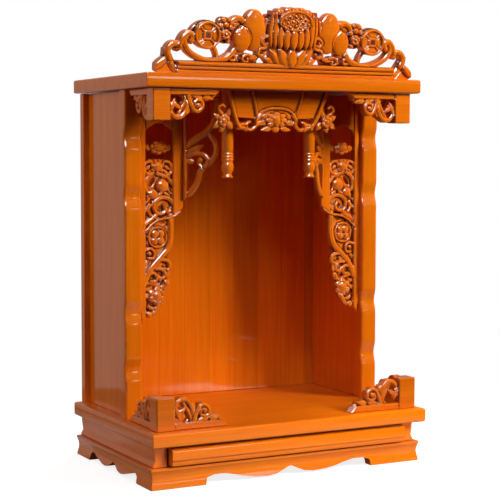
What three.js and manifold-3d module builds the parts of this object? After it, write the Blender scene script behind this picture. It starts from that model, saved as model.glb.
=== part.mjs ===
// Household altar cabinet in lacquered wood: an open shrine on a slab, a plinth with one drawer,
// a roof slab with a carved crest, and carved brackets, strips and a valance round the opening.
// Millimetres. +X is the right of someone facing the shrine, +Y runs to the back, +Z is up.
// The origin is at floor level under the middle of the floor slab.
import * as THREE from "three";
import { mergeVertices } from "three/addons/utils/BufferGeometryUtils.js";
import Module from "manifold-3d";

const wasm = await Module();
wasm.setup();

// Sizes of the carcass
const seam = 0.3; // glue line between two pieces
const flatness = 0.01; // how far a vertex may stand off a flat face before it counts
const floorSlab = { width: 482, depth: 320, thick: 21.5, edge: 2.5 };
const roofSlab = { width: 480, depth: 295, thick: 21.5, edge: 2.5, setback: 21.5 };
const apron = { height: 32, thick: 18, sideSetback: 3, frontSetback: 15, backSetback: 3 };
const frontScallop = { foot: 147, rise: 126.5, lobe: 44 };
const sideScallop = { foot: 95, rise: 83, lobe: 35 };
const scallop = { step: 10.5, crown: 15.2, low: 3, cusp: 14.5, corner: 2.5 };
const lip = { height: 5, shoulder: 0.8, waist: 3, hem: 0.5, foot: 3.5 };
const backArch = { foot: 120, height: 12, slope: 4 };
const drawerBay = {
  height: 33.5,
  railThick: 23,
  railCove: 3,
  railSetback: 10,
  frontSetback: 22.5,
  backSetback: 3,
};
const bottomBoard = { thick: 6 };
const drawer = {
  frontHeight: 26.5,
  frontThick: 16,
  proud: 16,
  endGap: 2,
  lift: 2.5,
  wall: 8,
  floor: 4,
  trayHeight: 22,
  trayRoom: 5.2,
  step: 1.4,
};
const shrine = { height: 507.5, width: 458, porch: 109, backThick: 15 };
const sidePanel = { thick: 15, inset: 9 };
const stile = { width: 29, thick: 20, scoopDepth: 4.5, scoopLength: 42 };
const scoopHeights = [76, 165, 344, 436];

// Sizes of the carved pieces
const crest = { width: 448, height: 102, thick: 25, lean: 8.5, setback: -6 };
const upperBracket = { length: 113, sideLength: 96, height: 47.5, thick: 18, inset: 14, setback: 9 };
const lowerBracket = { length: 120, sideLength: 108, height: 49.5, thick: 18, inset: 12, setback: 13.5 };
const strip = { width: 73.7, height: 362, thick: 12, setback: 8 };
const valance = { width: 218, height: 67, thick: 12, lean: 11, setback: 32 };
const pendant = { radius: 9.2, height: 135, spread: 73.2, setback: 69.5 };
const hanging = { length: 61, height: 170, thick: 10 };

// Heights above the floor and places front to back
const slabBottom = apron.height + drawerBay.height;
const slabTop = slabBottom + floorSlab.thick;
const roofBottom = slabTop + shrine.height;
const roofTop = roofBottom + roofSlab.thick;
const slabFront = -floorSlab.depth / 2;
const slabBack = floorSlab.depth / 2;
const roofFront = slabFront + roofSlab.setback;
const roofBack = roofFront + roofSlab.depth;
const shrineFront = roofFront + shrine.porch;
const bayFront = slabFront + drawerBay.frontSetback;
const sides = [
  ["left", -1],
  ["right", 1],
];

// Lacquered wood in the tones that the pieces show
const tones = { board: 0xe07a14, shade: 0xb4510c, carving: 0xc9600f, inside: 0x8a3408 };
const gloss = { roughness: 0.25, metalness: 0 };
const lacquer = (tone) => new THREE.MeshStandardMaterial({ color: tones[tone], ...gloss });

// Solids
function solidOf(geometry) {
  const bare = geometry.index ? geometry.toNonIndexed() : geometry.clone();
  bare.deleteAttribute("normal");
  bare.deleteAttribute("uv");
  const merged = mergeVertices(bare, 1e-4);
  return new wasm.Manifold(
    new wasm.Mesh({
      numProp: 3,
      vertProperties: merged.attributes.position.array,
      triVerts: new Uint32Array(merged.index.array),
    }),
  );
}

// A solid as a geometry, without the vertices that joins leave on flat faces
function geometryOf(solid) {
  const mesh = solid.simplify(flatness).getMesh();
  const geometry = new THREE.BufferGeometry();
  geometry.setAttribute("position", new THREE.BufferAttribute(mesh.vertProperties, mesh.numProp));
  geometry.setIndex(new THREE.BufferAttribute(mesh.triVerts, 1));
  geometry.computeVertexNormals();
  return geometry;
}

// An outline in x and y, extruded along z
function prism(outline, depth) {
  const shape = new THREE.Shape(outline.map(([x, y]) => new THREE.Vector2(x, y)));
  return new THREE.ExtrudeGeometry(shape, { depth, bevelEnabled: false });
}

// A board lying flat from z = 0, centred in x and y, with eased edges
function board({ width, depth, thick, edge }) {
  const x = width / 2 - edge;
  const y = depth / 2 - edge;
  const outline = [
    [-x, -y],
    [x, -y],
    [x, y],
    [-x, y],
  ];
  const shape = new THREE.Shape(outline.map(([px, py]) => new THREE.Vector2(px, py)));
  const bevel = { bevelEnabled: true, bevelThickness: edge, bevelSize: edge, bevelSegments: 2 };
  return new THREE.ExtrudeGeometry(shape, { depth: thick - 2 * edge, ...bevel }).translate(0, 0, edge);
}

// A plain block between two corners
function block(from, to) {
  const size = to.map((value, axis) => value - from[axis]);
  return new THREE.BoxGeometry(...size).translate(...from.map((value, axis) => value + size[axis] / 2));
}

// Outlines of a carver's drawing, in x across and y up
function spline(points, steps, closed = false) {
  const curve = new THREE.CatmullRomCurve3(
    points.map(([x, y]) => new THREE.Vector3(x, y, 0)),
    closed,
    "centripetal",
  );
  const sampled = curve.getPoints(steps).map((p) => [p.x, p.y]);
  return closed ? sampled.slice(0, -1) : sampled;
}

function oval(x, y, rx, ry = rx, sideCount = 6, turn = 0) {
  const cos = Math.cos((turn * Math.PI) / 180);
  const sin = Math.sin((turn * Math.PI) / 180);
  return Array.from({ length: sideCount }, (_, i) => {
    const angle = (2 * Math.PI * (i + 0.5)) / sideCount;
    const across = rx * Math.cos(angle);
    const up = ry * Math.sin(angle);
    return [x + across * cos - up * sin, y + across * sin + up * cos];
  });
}

function rect(x0, y0, x1, y1) {
  return [
    [x0, y0],
    [x1, y0],
    [x1, y1],
    [x0, y1],
  ];
}

// A leaf from its root to its tip, with its belly nearer the root
function leaf(x0, y0, x1, y1, wide, steps = 2) {
  const length = Math.hypot(x1 - x0, y1 - y0);
  const along = [(x1 - x0) / length, (y1 - y0) / length];
  const edge = (side) =>
    Array.from({ length: steps }, (_, i) => {
      const t = (i + 0.5) / steps;
      const half = ((side * wide) / 2) * Math.sin(Math.PI * t ** 0.85) ** 0.75;
      return [x0 + along[0] * length * t - along[1] * half, y0 + along[1] * length * t + along[0] * half];
    });
  return [[x0, y0], ...edge(-1), [x1, y1], ...edge(1).reverse()];
}

// A scroll or stem along a curve, from one width to another, with rounded ends
function band(points, wide0, wide1 = wide0, steps = points.length - 1) {
  const line = spline(points, steps);
  const left = [];
  const right = [];
  line.forEach(([x, y], i) => {
    const [ax, ay] = line[Math.max(i - 1, 0)];
    const [bx, by] = line[Math.min(i + 1, line.length - 1)];
    const run = Math.hypot(bx - ax, by - ay);
    const half = (wide0 + ((wide1 - wide0) * i) / (line.length - 1)) / 2;
    left.push([x - ((by - ay) / run) * half, y + ((bx - ax) / run) * half]);
    right.push([x + ((by - ay) / run) * half, y - ((bx - ax) / run) * half]);
  });
  const nose = (at, beyond, half) => {
    const run = Math.hypot(at[0] - beyond[0], at[1] - beyond[1]);
    return [at[0] + ((at[0] - beyond[0]) / run) * half, at[1] + ((at[1] - beyond[1]) / run) * half];
  };
  const last = line.length - 1;
  const start = nose(line[0], line[1], wide0 / 2.4);
  const end = nose(line[last], line[last - 1], wide1 / 2.4);
  return [start, ...right, end, ...left.reverse()];
}

function rosette(x, y, radius, petals, depth = 0.16, stretch = 1) {
  const count = petals * 2;
  return Array.from({ length: count }, (_, i) => {
    const angle = (2 * Math.PI * i) / count;
    const r = radius * (i % 2 ? 1 - depth : 1);
    return [x + r * stretch * Math.cos(angle), y + r * Math.sin(angle)];
  });
}

// One stroke of carving: an outline raised to a share of the board's thickness,
// a pocket sunk down to that share, or a hole right through
const raise = (share, outline) => ({ kind: "raise", share, outline });
const sink = (share, outline) => ({ kind: "sink", share, outline });
const pierce = (outline) => ({ kind: "pierce", share: 0, outline });
const mirrored = (strokes) =>
  strokes.map((stroke) => ({ ...stroke, outline: stroke.outline.map(([x, y]) => [-x, y]) }));

// A carved board: x across, y up, its deepest point at z = -thick and its boldest relief at z = 0.
// The drawing is stretched from its own size to the piece's size.
function carve(strokes, thick, scaleX, scaleY) {
  let solid = null;
  for (const { kind, share, outline } of strokes) {
    const scaled = outline.map(([x, y]) => [x * scaleX, y * scaleY]);
    const floor = kind === "sink" ? share * thick : 0;
    const top = kind === "raise" ? share * thick : thick + 1;
    const base = kind === "pierce" ? -1 : floor;
    const tool = solidOf(prism(scaled, top - base).translate(0, 0, base - thick));
    if (solid === null) solid = tool;
    else if (kind === "raise") solid = solid.add(tool);
    else solid = solid.subtract(tool);
  }
  return solid;
}

// How far a relief stands up, as shares of a bracket's, strip's or valance's thickness
const plate = 0.6;
const body = 0.8;
const bold = 1;

// The crest's drawing: half of it, 224 wide and 104 high, and what stands on its centre line.
// Its lotus stands proud of all the rest, which keeps to this share of the crest's thickness.
const crestDrawing = { width: 448, height: 104 };
const besideLotus = 0.72;
const lotusLevels = { heart: 0.85, petals: 0.9, pod: 1 };

function crestHalf() {
  const coin = [144, 56];
  const point = [[211, 33], [206, 35], [200, 28]];
  const tail = [[225, 0], [218, 10], [212, 20], ...point, [192, 15], [184, 6], [184, 0]];
  const crook = [[174, 54], [178, 43], [172, 31], [160, 22.5], [140, 17.5], [120, 19], [105, 25], [95, 38]];
  return [
    raise(plate, tail),
    raise(plate, band([[190, 2], [200, 15], [205, 29], [199, 40], [188, 40.5]], 13, 10)),
    raise(plate, band([[196, 38], [186, 40], [180, 48], [174.5, 57], [167, 53]], 9, 11)),
    raise(body, band(crook, 9.5)),
    raise(plate, band([[170, 50], [166, 63], [155, 72.5], [140, 74.5], [125, 69]], 8, 7)),
    raise(plate, band([[131, 41], [124, 21]], 8, 6)),
    raise(bold, oval(...coin, 18.5, 18.5, 14)),
    sink(body, oval(...coin, 14, 14, 12)),
    raise(bold, rect(coin[0] - 5.5, coin[1] - 5.5, coin[0] + 5.5, coin[1] + 5.5)),
    pierce(rect(coin[0] - 3.5, coin[1] - 3.5, coin[0] + 3.5, coin[1] + 3.5)),
    raise(plate, band([[130, 67], [117, 70], [94, 76], [74, 80]], 13, 16)),
    raise(plate, oval(118, 77, 8, 7.5)),
    raise(plate, oval(92, 80.5, 8.5, 7.2)),
    raise(body, oval(114, 64, 11, 18, 8)),
    raise(plate, oval(65, 65.5, 18.5, 31.5, 14)),
    raise(body, oval(86, 51, 15, 18.5, 14)),
    raise(plate, band([[50, 36], [43, 88]], 15, 9)),
    raise(plate, band([[62, 14], [56, 27], [44, 40]], 7, 8)),
    raise(bold, oval(47, 51, 7.5)),
    raise(bold, oval(46, 36, 8.5, 7.5)),
    raise(plate, band([[112, 22], [98, 18.5], [76, 17.5], [59, 25]], 8, 7)),
    raise(body, oval(99, 23, 10, 5.5, 8, -10)),
    raise(body, oval(77, 22.5, 9, 5.5, 8, 10)),
    raise(plate, oval(90, 33, 9, 5)),
    raise(plate, leaf(12, 12, 46, 24, 15)),
    raise(bold, leaf(6, 12, 31, 39, 16)),
    raise(body, oval(24, 92, 6.6)),
    raise(body, oval(12.5, 96.3, 6.8)),
  ];
}

function crestCentre() {
  const lotus = [[-30, 20], [30, 20], [37, 38], [37, 94], [24, 92], [-24, 92], [-37, 94], [-37, 38]];
  return [
    raise(plate, rect(-190, 0, 190, 14)),
    raise(bold, rect(-190, 4.5, 190, 15)),
    raise(bold, lotus),
    raise(body, oval(0, 97.4, 6.9)),
  ];
}

// The lotus: its petals, the pod over them and the pod's seeds
function crestLotus() {
  const seeds = [
    [0, 91],
    [10, 89],
    [-10, 89],
    [5, 82],
    [-5, 82],
  ];
  return [
    raise(lotusLevels.petals, oval(0, 66, 31, 24, 14)),
    raise(lotusLevels.pod, oval(0, 80, 26, 18, 12)),
    raise(lotusLevels.heart, leaf(0, 14, 0, 46, 18)),
    ...seeds.map(([x, y]) => sink(lotusLevels.petals, oval(x, y, 2.4, 2.4, 5))),
  ];
}

function carvedCrest() {
  const half = crestHalf();
  const beside = [...crestCentre(), ...half, ...mirrored(half)].map((stroke) => ({
    ...stroke,
    share: stroke.share * besideLotus,
  }));
  const strokes = [...beside, ...crestLotus()];
  const scaleX = crest.width / crestDrawing.width;
  const scaleY = crest.height / crestDrawing.height;
  const solid = carve(strokes, crest.thick, scaleX, scaleY);
  const below = block([-crest.width, -crest.height, -2 * crest.thick], [crest.width, seam, crest.thick]);
  const lean = THREE.MathUtils.degToRad(crest.lean);
  const leant = solidOf(geometryOf(solid).rotateX(lean));
  return leant.subtract(solidOf(below));
}

// A corner bracket's drawing: x inwards from the outer corner, y away from the slab it is fixed to
const bracketDrawing = { length: 113, height: 47.5 };

function bracketStrokes() {
  return [
    raise(bold, [[0, 0], [113, 0], [104, 9.5], [0, 9.5]]),
    raise(bold, rect(0, 0, 28, 47.5)),
    raise(bold, band([[25, 40], [37, 44], [48, 38], [60, 7]], 6)),
    raise(bold, leaf(47, 38, 58, 6, 11)),
    raise(bold, band([[26, 30], [37, 22], [44, 14]], 5.5, 4.5)),
    raise(bold, band([[56, 8], [63, 24], [71, 34], [80, 29], [78, 19], [70, 21]], 6, 4)),
    raise(bold, leaf(67, 6, 86, 16, 9)),
    raise(bold, oval(98, 10, 6, 3.5, 6)),
  ];
}

// One wing of a corner bracket, mitred at x = 0; way is 1 where x runs on to the right of its face
function bracketWing({ height, thick }, length, way, up) {
  const strokes = bracketStrokes();
  const solid = carve(strokes, thick, length / bracketDrawing.length, height / bracketDrawing.height);
  const reach = 2 * length;
  const mitre = prism(
    [
      [-reach, -reach],
      [-reach + seam, -reach],
      [reach + seam, reach],
      [-reach, reach],
    ],
    3 * height,
  );
  const wing = solid.subtract(solidOf(mitre.rotateX(-Math.PI / 2).translate(0, -height, 0)));
  return geometryOf(solidOf(turned(geometryOf(wing), way, up)));
}

// A geometry flipped across x or y, with its faces kept pointing out
function turned(geometry, way, up) {
  const flipped = geometry.clone().scale(way, up, 1);
  if (way * up < 0) {
    const corners = flipped.index.array;
    for (let i = 0; i < corners.length; i += 3) corners.subarray(i, i + 3).reverse();
  }
  return flipped;
}

// The side strip's drawing: x outwards from its inner edge, y down from the roof slab
const stripDrawing = { width: 73.7, height: 362 };

function stripStrokes() {
  const sweep = [[26, 246], [35, 256], [45, 266], [56, 280]];
  const rose = [40.5, 88];
  const aster = [41.5, 118];
  const medallion = [43, 227];
  const archHalf = [[64, 66], [60, 57.5], [53, 54], [46, 49.8]];
  const arch = [...archHalf, ...archHalf.map(([x, y]) => [2 * rose[0] - x, y]).reverse()];
  return [
    raise(bold, [[0, 0], [73.7, 0], [73.7, 66], ...arch, [0, 66]]),
    raise(bold, [[64, 0], [73.7, 0], [73.7, 340], [70, 362], [64, 352]]),
    raise(bold, [[0, 0], [17, 0], [17, 198], [9, 191.5], [0, 181]]),
    raise(plate, leaf(34, 89, 15, 86, 11)),
    raise(plate, leaf(47, 89, 66, 86, 11)),
    raise(bold, oval(...rose, 16, 10.5, 10)),
    sink(plate, oval(rose[0], rose[1] - 1, 8, 4.6)),
    raise(bold, rosette(...aster, 14.5, 8, 0.3, 1.65)),
    raise(bold, oval(...aster, 7, 6.6)),
    raise(bold, band([[15, 144], [33, 130]], 7, 5)),
    raise(bold, leaf(15, 156, 30, 144, 9)),
    raise(bold, oval(33, 146, 10.5, 11, 10)),
    raise(bold, band([[50, 128], [60, 137], [62, 148], [50, 158]], 5.5, 5)),
    raise(bold, oval(49.5, 158, 7, 6.5)),
    raise(bold, leaf(52, 156, 66, 168, 8)),
    raise(bold, band([[34, 152], [46, 166]], 6, 6)),
    raise(bold, band([[15, 170], [25, 163.5], [44, 165], [49, 180], [39, 190], [30, 183]], 6, 4.5)),
    raise(bold, leaf(48, 172, 66, 186, 9)),
    raise(bold, band([[33, 187], [16, 196]], 6, 6)),
    raise(bold, band([[44, 187], [65, 206]], 8, 8)),
    raise(plate, [[19, 204], [44, 203], [66, 216], [67, 296], [54, 277], [40, 261], [27, 247], [19, 232]]),
    pierce(oval(36.5, 206, 8.5, 3.6, 6, 8)),
    raise(bold, band([[20.5, 195], [20, 214], [21, 232], ...sweep, [66, 300]], 10.5, 10)),
    raise(bold, band([[6, 188], [19, 196], [36, 198.5], [52, 205], [66, 219]], 4, 3)),
    raise(bold, oval(...medallion, 15.5, 16.3, 12)),
    ...[45, 135, 225, 315].map((turn) => {
      const angle = (turn * Math.PI) / 180;
      const petal = [medallion[0] + 7 * Math.cos(angle), medallion[1] + 7.4 * Math.sin(angle)];
      return raise(bold, oval(...petal, 5.4, 5.4, 5));
    }),
    raise(bold, band([[66, 247], [55, 244.5], [48.5, 250], [50, 259], [58, 260]], 5, 4.5)),
    raise(bold, band([[33, 258], [24, 265], [21.5, 274], [32, 282]], 6.5, 5.5)),
    raise(bold, band([[33, 282], [24, 287], [22, 296], [34, 304]], 6, 5.5)),
    raise(bold, [[28, 264], [40, 264], [63, 295], [29, 284]]),
    raise(bold, band([[30, 302], [42, 307], [66, 297]], 7, 6)),
    raise(bold, band([[34, 300], [43, 316]], 8, 8)),
    raise(bold, leaf(50, 312, 66, 306, 9)),
    raise(bold, oval(43.5, 321, 15.8, 15.8, 12)),
    raise(bold, oval(43, 321, 8.5, 8.5)),
    raise(bold, band([[42, 332], [47, 343], [55, 348], [63, 344], [67, 333]], 6.5, 5)),
  ];
}

function carvedStrip(way) {
  const scaleX = strip.width / stripDrawing.width;
  const scaleY = strip.height / stripDrawing.height;
  const solid = carve(stripStrokes(), strip.thick, scaleX, scaleY);
  return geometryOf(solidOf(turned(geometryOf(solid), way, -1)));
}

// The valance's drawing: x from its middle, y down from the roof slab
const valanceDrawing = { width: 218, height: 67 };

function valanceHalf() {
  return [
    raise(bold, band([[88, 0], [75, 36], [63, 58]], 6.5, 6)),
    raise(bold, band([[46, 0], [34, 42]], 5, 5)),
    raise(bold, band([[29, 39], [35, 48], [43, 61], [51, 60], [50, 51]], 6, 4.5)),
    raise(bold, leaf(50, 57, 68, 57, 9)),
    raise(bold, leaf(18, 50, 37, 54, 10)),
    raise(bold, leaf(6, 60, 27, 62.5, 8)),
    raise(plate, band([[78, 27], [84, 38], [90, 48]], 9, 9)),
    raise(bold, band([[88, 42], [98, 37], [101, 27], [93, 26]], 5.5, 4)),
    raise(bold, leaf(93, 48, 109, 39, 10)),
    raise(bold, leaf(93, 50, 109, 60, 11)),
    raise(bold, leaf(90, 52, 95, 67, 10)),
    raise(bold, leaf(88, 50, 74, 62, 11)),
    raise(bold, rosette(91.5, 48.5, 10.5, 5, 0.2)),
  ];
}

function valanceCentre() {
  const arch = Array.from({ length: 6 }, (_, i) => {
    const angle = (Math.PI * (i + 0.3)) / 5.6;
    return [35 * Math.cos(angle), 47 - 19 * Math.sin(angle)];
  });
  return [
    raise(plate, [[-88, 0], [88, 0], [73, 43], [40, 45], [30, 56], [-30, 56], [-40, 45], [-73, 43]]),
    raise(bold, band(arch, 4.5)),
    raise(plate, oval(0, 52, 27, 14, 8)),
    raise(bold, rosette(0, 47, 14, 6, 0.12, 1.45)),
    raise(bold, oval(0, 47, 6.5, 8.5)),
    raise(bold, oval(0, 61.5, 7, 5)),
  ];
}

function carvedValance() {
  const half = valanceHalf();
  const strokes = [...valanceCentre(), ...half, ...mirrored(half)];
  const scaleX = valance.width / valanceDrawing.width;
  const scaleY = valance.height / valanceDrawing.height;
  const solid = carve(strokes, valance.thick, scaleX, scaleY);
  const hung = turned(geometryOf(solid), 1, -1).rotateX(THREE.MathUtils.degToRad(valance.lean));
  const far = 2 * valance.height;
  const above = block([-valance.width, -seam, -far], [valance.width, far, far]);
  return solidOf(hung).subtract(solidOf(above));
}

// The hanging bracket's drawing: x from the side strip towards the pendant, y down from the roof slab
const hangingDrawing = { length: 61, height: 170 };

function hangingStrokes() {
  return [
    raise(bold, band([[1.5, 163], [10, 158], [18.5, 147], [24, 136], [26.5, 125], [44, 109], [52.6, 92],
      [43, 68]], 10.5, 8.5)),
    raise(bold, [[0, 0], [60, 0], [60, 9], [5, 9], [5, 166], [0, 170]]),
    raise(bold, band([[2, 92], [12, 79], [38, 62], [50, 46], [54, 24], [54, 0]], 12, 10)),
    raise(bold, leaf(1, 98, 33, 83, 11)),
    raise(bold, band([[3, 101], [18, 97], [32, 98], [40, 107], [34, 117]], 7, 7)),
    raise(bold, oval(8.5, 109, 9, 5)),
  ];
}

function carvedHanging(way) {
  const scaleX = hanging.length / hangingDrawing.length;
  const scaleY = (hanging.height - seam) / hangingDrawing.height;
  const solid = carve(hangingStrokes(), hanging.thick, scaleX, scaleY);
  const far = 2 * hanging.height;
  const above = block([-far, -far, -far], [far, 0, far]);
  const behind = block([-far, -far, -far], [0, far, far]);
  const trimmed = solid.subtract(solidOf(above)).subtract(solidOf(behind));
  return geometryOf(solidOf(turned(geometryOf(trimmed), way, -1).translate(0, 0, hanging.thick / 2)));
}

// A moulded run of plinth, mitred at both ends: length along x, its face at y = 0, its back at y = thick
function apronRun(length) {
  const { height, thick } = apron;
  const curve = spline(
    [
      [lip.shoulder, height - lip.height],
      [lip.waist, height / 2],
      [lip.hem, lip.foot],
    ],
    4,
  );
  const face = [[0, height], [0, height - lip.height + 1], ...curve, [lip.hem, 0]];
  const geometry = prism([...face, [thick, 0], [thick, height]], 1);
  const corners = geometry.attributes.position;
  for (let i = 0; i < corners.count; i++) {
    const inwards = corners.getX(i);
    const end = corners.getZ(i) > 0.5 ? 1 : -1;
    corners.setXYZ(i, end * (length / 2 - inwards - seam), inwards, corners.getY(i));
  }
  return solidOf(geometry);
}

// The wave sawn out of an apron's lower edge between its two feet
function scallopCutter({ foot, rise, lobe }) {
  const { step, crown, low, cusp, corner } = scallop;
  const half = [
    [foot - corner, step],
    [rise, crown],
    [(rise + lobe) / 2 + 12, (crown + low) / 2 + 2],
    [(rise + lobe) / 2 - 8, (crown + low) / 2 - 3],
    [lobe, low],
    [lobe * 0.5, low + 2.5],
    [lobe * 0.15, cusp - 2],
  ];
  const otherHalf = half.map(([x, z]) => [-x, z]).reverse();
  const wave = spline([...half, [0, cusp], ...otherHalf], 20);
  return [[foot, -apron.height], [foot, 0], ...wave, [-foot, 0], [-foot, -apron.height]];
}

function scallopedApron(length, outline) {
  const cutter = prism(outline, 3 * apron.thick).rotateX(Math.PI / 2).translate(0, 2 * apron.thick, 0);
  return geometryOf(apronRun(length).subtract(solidOf(cutter)));
}

// Pieces
const root = new THREE.Group();

function place(parent, name, shape, tone, position = [0, 0, 0], rotation = [0, 0, 0]) {
  const geometry = shape.isBufferGeometry ? shape : geometryOf(shape);
  const mesh = new THREE.Mesh(geometry, lacquer(tone));
  mesh.name = name;
  mesh.position.set(...position);
  mesh.rotation.set(...rotation);
  parent.add(mesh);
  return mesh;
}

const quarter = Math.PI / 2;
const plinthFront = slabFront + apron.frontSetback;
const plinthBack = slabBack - apron.backSetback;
const plinthWidth = floorSlab.width - 2 * apron.sideSetback;
const plinthDepth = plinthBack - plinthFront;
const plinthMiddle = (plinthFront + plinthBack) / 2;

function addPlinth() {
  const { foot, height, slope } = backArch;
  const arch = [
    [foot, -apron.height],
    [foot - slope, height],
    [-foot + slope, height],
    [-foot, -apron.height],
  ];
  const front = scallopedApron(plinthWidth, scallopCutter(frontScallop));
  place(root, "apron_front", front, "board", [0, plinthFront, 0]);
  const rear = scallopedApron(plinthWidth, arch);
  place(root, "apron_back", rear, "shade", [0, plinthBack, 0], [0, 0, Math.PI]);
  for (const [name, side] of sides) {
    const run = scallopedApron(plinthDepth, scallopCutter(sideScallop));
    const end = (side * plinthWidth) / 2;
    place(root, `apron_${name}`, run, "shade", [end, plinthMiddle, 0], [0, 0, side * quarter]);
  }
  const inner = plinthWidth / 2 - apron.thick - seam;
  const innerDepth = plinthDepth - 2 * (apron.thick + seam);
  const top = apron.height;
  const panel = block(
    [-inner, plinthMiddle - innerDepth / 2, top - bottomBoard.thick],
    [inner, plinthMiddle + innerDepth / 2, top],
  );
  place(root, "bottom_board", panel, "inside");
}

const railOuter = floorSlab.width / 2 - drawerBay.railSetback;
const railInner = railOuter - drawerBay.railThick;
const railBottom = apron.height + seam;
const railTop = slabBottom - seam;
const bayBack = plinthBack - drawerBay.backSetback;
const rearRailFront = bayBack - drawerBay.railThick;

function addDrawerBay() {
  const tall = railTop - railBottom;
  const cove = spline([[0.6, tall - 3], [1.4, tall * 0.6], [drawerBay.railCove, tall * 0.28]], 6);
  const bead = [[0, 4], [-0.8, 2.5], [-0.8, 0]];
  const inside = [[drawerBay.railThick, 0], [drawerBay.railThick, tall]];
  const section = [[0, tall], ...cove, ...bead, ...inside];
  for (const [name, side] of sides) {
    const outline = section.map(([x, y]) => [side * (railOuter - x), y]);
    const rail = prism(outline, bayBack - bayFront).rotateX(quarter).translate(0, bayBack, railBottom);
    place(root, `rail_${name}`, rail, "shade");
  }
  const rear = block(
    [-railInner + seam, rearRailFront, railBottom],
    [railInner - seam, bayBack, railTop],
  );
  place(root, "rail_back", rear, "shade");
}

// The drawer, shut: its front stands proud of the rails, its tray runs on the bottom board
function addDrawer() {
  const { frontHeight, frontThick, step, lift, wall, endGap } = drawer;
  const bottom = apron.height + lift;
  const half = railInner - endGap;
  const rebate = [[step + 1, 0], [step, 2], [step, 7], [0, 8.5]];
  const nose = [[0, frontHeight - 5], [1.2, frontHeight - 1.6], [4, frontHeight]];
  const inside = [[frontThick, frontHeight], [frontThick, 0]];
  const panel = prism([...rebate, ...nose, ...inside], 2 * half);
  panel.rotateX(quarter).rotateZ(quarter).translate(-half, 0, 0);
  const face = bayFront + 1 - drawer.proud;
  place(root, "drawer_front", panel, "board", [0, face, bottom]);
  const trayFront = face + frontThick + seam;
  const trayDepth = rearRailFront - drawer.trayRoom - trayFront;
  const outer = block([-half + 1, 0, 0], [half - 1, trayDepth, drawer.trayHeight]);
  const hollow = block(
    [-half + 1 + wall, wall, drawer.floor],
    [half - 1 - wall, trayDepth - wall, 2 * drawer.trayHeight],
  );
  place(root, "drawer_tray", solidOf(outer).subtract(solidOf(hollow)), "inside", [0, trayFront, bottom]);
}

function addSlabs() {
  const middle = (roofFront + roofBack) / 2;
  place(root, "floor_slab", board(floorSlab), "board", [0, 0, slabBottom]);
  place(root, "roof_slab", board(roofSlab), "board", [0, middle, roofBottom]);
}

// The front edge of a stile seen from the side: shallow scoops at the given heights
function stileProfile(tall) {
  const { thick, scoopDepth, scoopLength } = stile;
  const scoops = scoopHeights.flatMap((height) =>
    Array.from({ length: 7 }, (_, i) => {
      const t = i / 6 - 0.5;
      return [scoopDepth * Math.cos(Math.PI * t) ** 2, height + t * scoopLength];
    }),
  );
  return [[0, 0], ...scoops, [0, tall], [thick, tall], [thick, 0]];
}

const wallBottom = slabTop + seam;
const wallTop = roofBottom - seam;
const stileInner = shrine.width / 2 - stile.width;

function addShrine() {
  const tall = wallTop - wallBottom;
  const boardFront = roofBack - shrine.backThick;
  for (const [name, side] of sides) {
    const post = prism(stileProfile(tall), stile.width).rotateX(quarter).rotateZ(quarter);
    const postStart = (side * (shrine.width - stile.width) - stile.width) / 2;
    place(root, `stile_${name}`, post, "board", [postStart, shrineFront, wallBottom]);
    const outer = shrine.width / 2 - sidePanel.inset;
    const [west, east] = [side * (outer - sidePanel.thick), side * outer].sort((a, b) => a - b);
    const panelFront = shrineFront + stile.thick + seam;
    const panel = block([west, panelFront, wallBottom], [east, boardFront - seam, wallTop]);
    place(root, `side_panel_${name}`, panel, "shade");
  }
  const back = block([-shrine.width / 2, boardFront, wallBottom], [shrine.width / 2, roofBack, wallTop]);
  place(root, "back_board", back, "inside");
}

function addCrest() {
  place(root, "crest", carvedCrest(), "carving", [0, roofFront + crest.setback, roofTop], [quarter, 0, 0]);
}

function addBrackets(label, size, slabHalf, slabEdge, level, up) {
  for (const [name, side] of sides) {
    const corner = new THREE.Group();
    corner.position.set(side * (slabHalf - size.inset), slabEdge + size.setback, level + up * seam);
    const across = bracketWing(size, size.length, -side, up);
    place(corner, `${label}_bracket_${name}_front`, across, "carving", [0, 0, 0], [quarter, 0, 0]);
    const back = new THREE.Group();
    back.rotation.z = side * quarter;
    const along = bracketWing(size, size.sideLength, side, up);
    place(back, `${label}_bracket_${name}_side`, along, "carving", [0, 0, 0], [quarter, 0, 0]);
    corner.add(back);
    root.add(corner);
  }
}

function addStrips() {
  const inner = stileInner - seam - strip.width;
  for (const [name, side] of sides) {
    place(root, `carved_strip_${name}`, carvedStrip(side), "carving",
      [side * inner, shrineFront + strip.setback, roofBottom - seam], [quarter, 0, 0]);
  }
  return inner;
}

function addValance() {
  const front = roofFront + valance.setback;
  place(root, "valance", carvedValance(), "carving", [0, front, roofBottom], [quarter, 0, 0]);
}

// A turned pendant: shaft, three rings, ball and flared foot
function pendantProfile() {
  const { radius, height } = pendant;
  const ringTop = 40;
  const rings = [0, 1, 2].flatMap((i) => {
    const base = ringTop - 4.6 * (i + 1);
    return [[radius + 0.5, base + 2.3], [radius - 0.9, base]];
  });
  const shaft = [[0, height], [radius, height], [radius, ringTop + 1], [radius - 0.9, ringTop]];
  const foot = [[radius + 0.5, 20], [radius + 0.5, 15], [radius - 2.8, 7], [radius, 3], [radius, 0], [0, 0]];
  return [...shaft, ...rings, ...foot].reverse().map(([r, z]) => new THREE.Vector2(r, z));
}

function addPendants() {
  for (const [name, side] of sides) {
    const turnedPost = new THREE.LatheGeometry(pendantProfile(), 9);
    const foot = [side * pendant.spread, roofFront + pendant.setback, wallTop - pendant.height];
    place(root, `pendant_${name}`, solidOf(turnedPost), "board", foot, [quarter, 0, 0]);
  }
}

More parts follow.
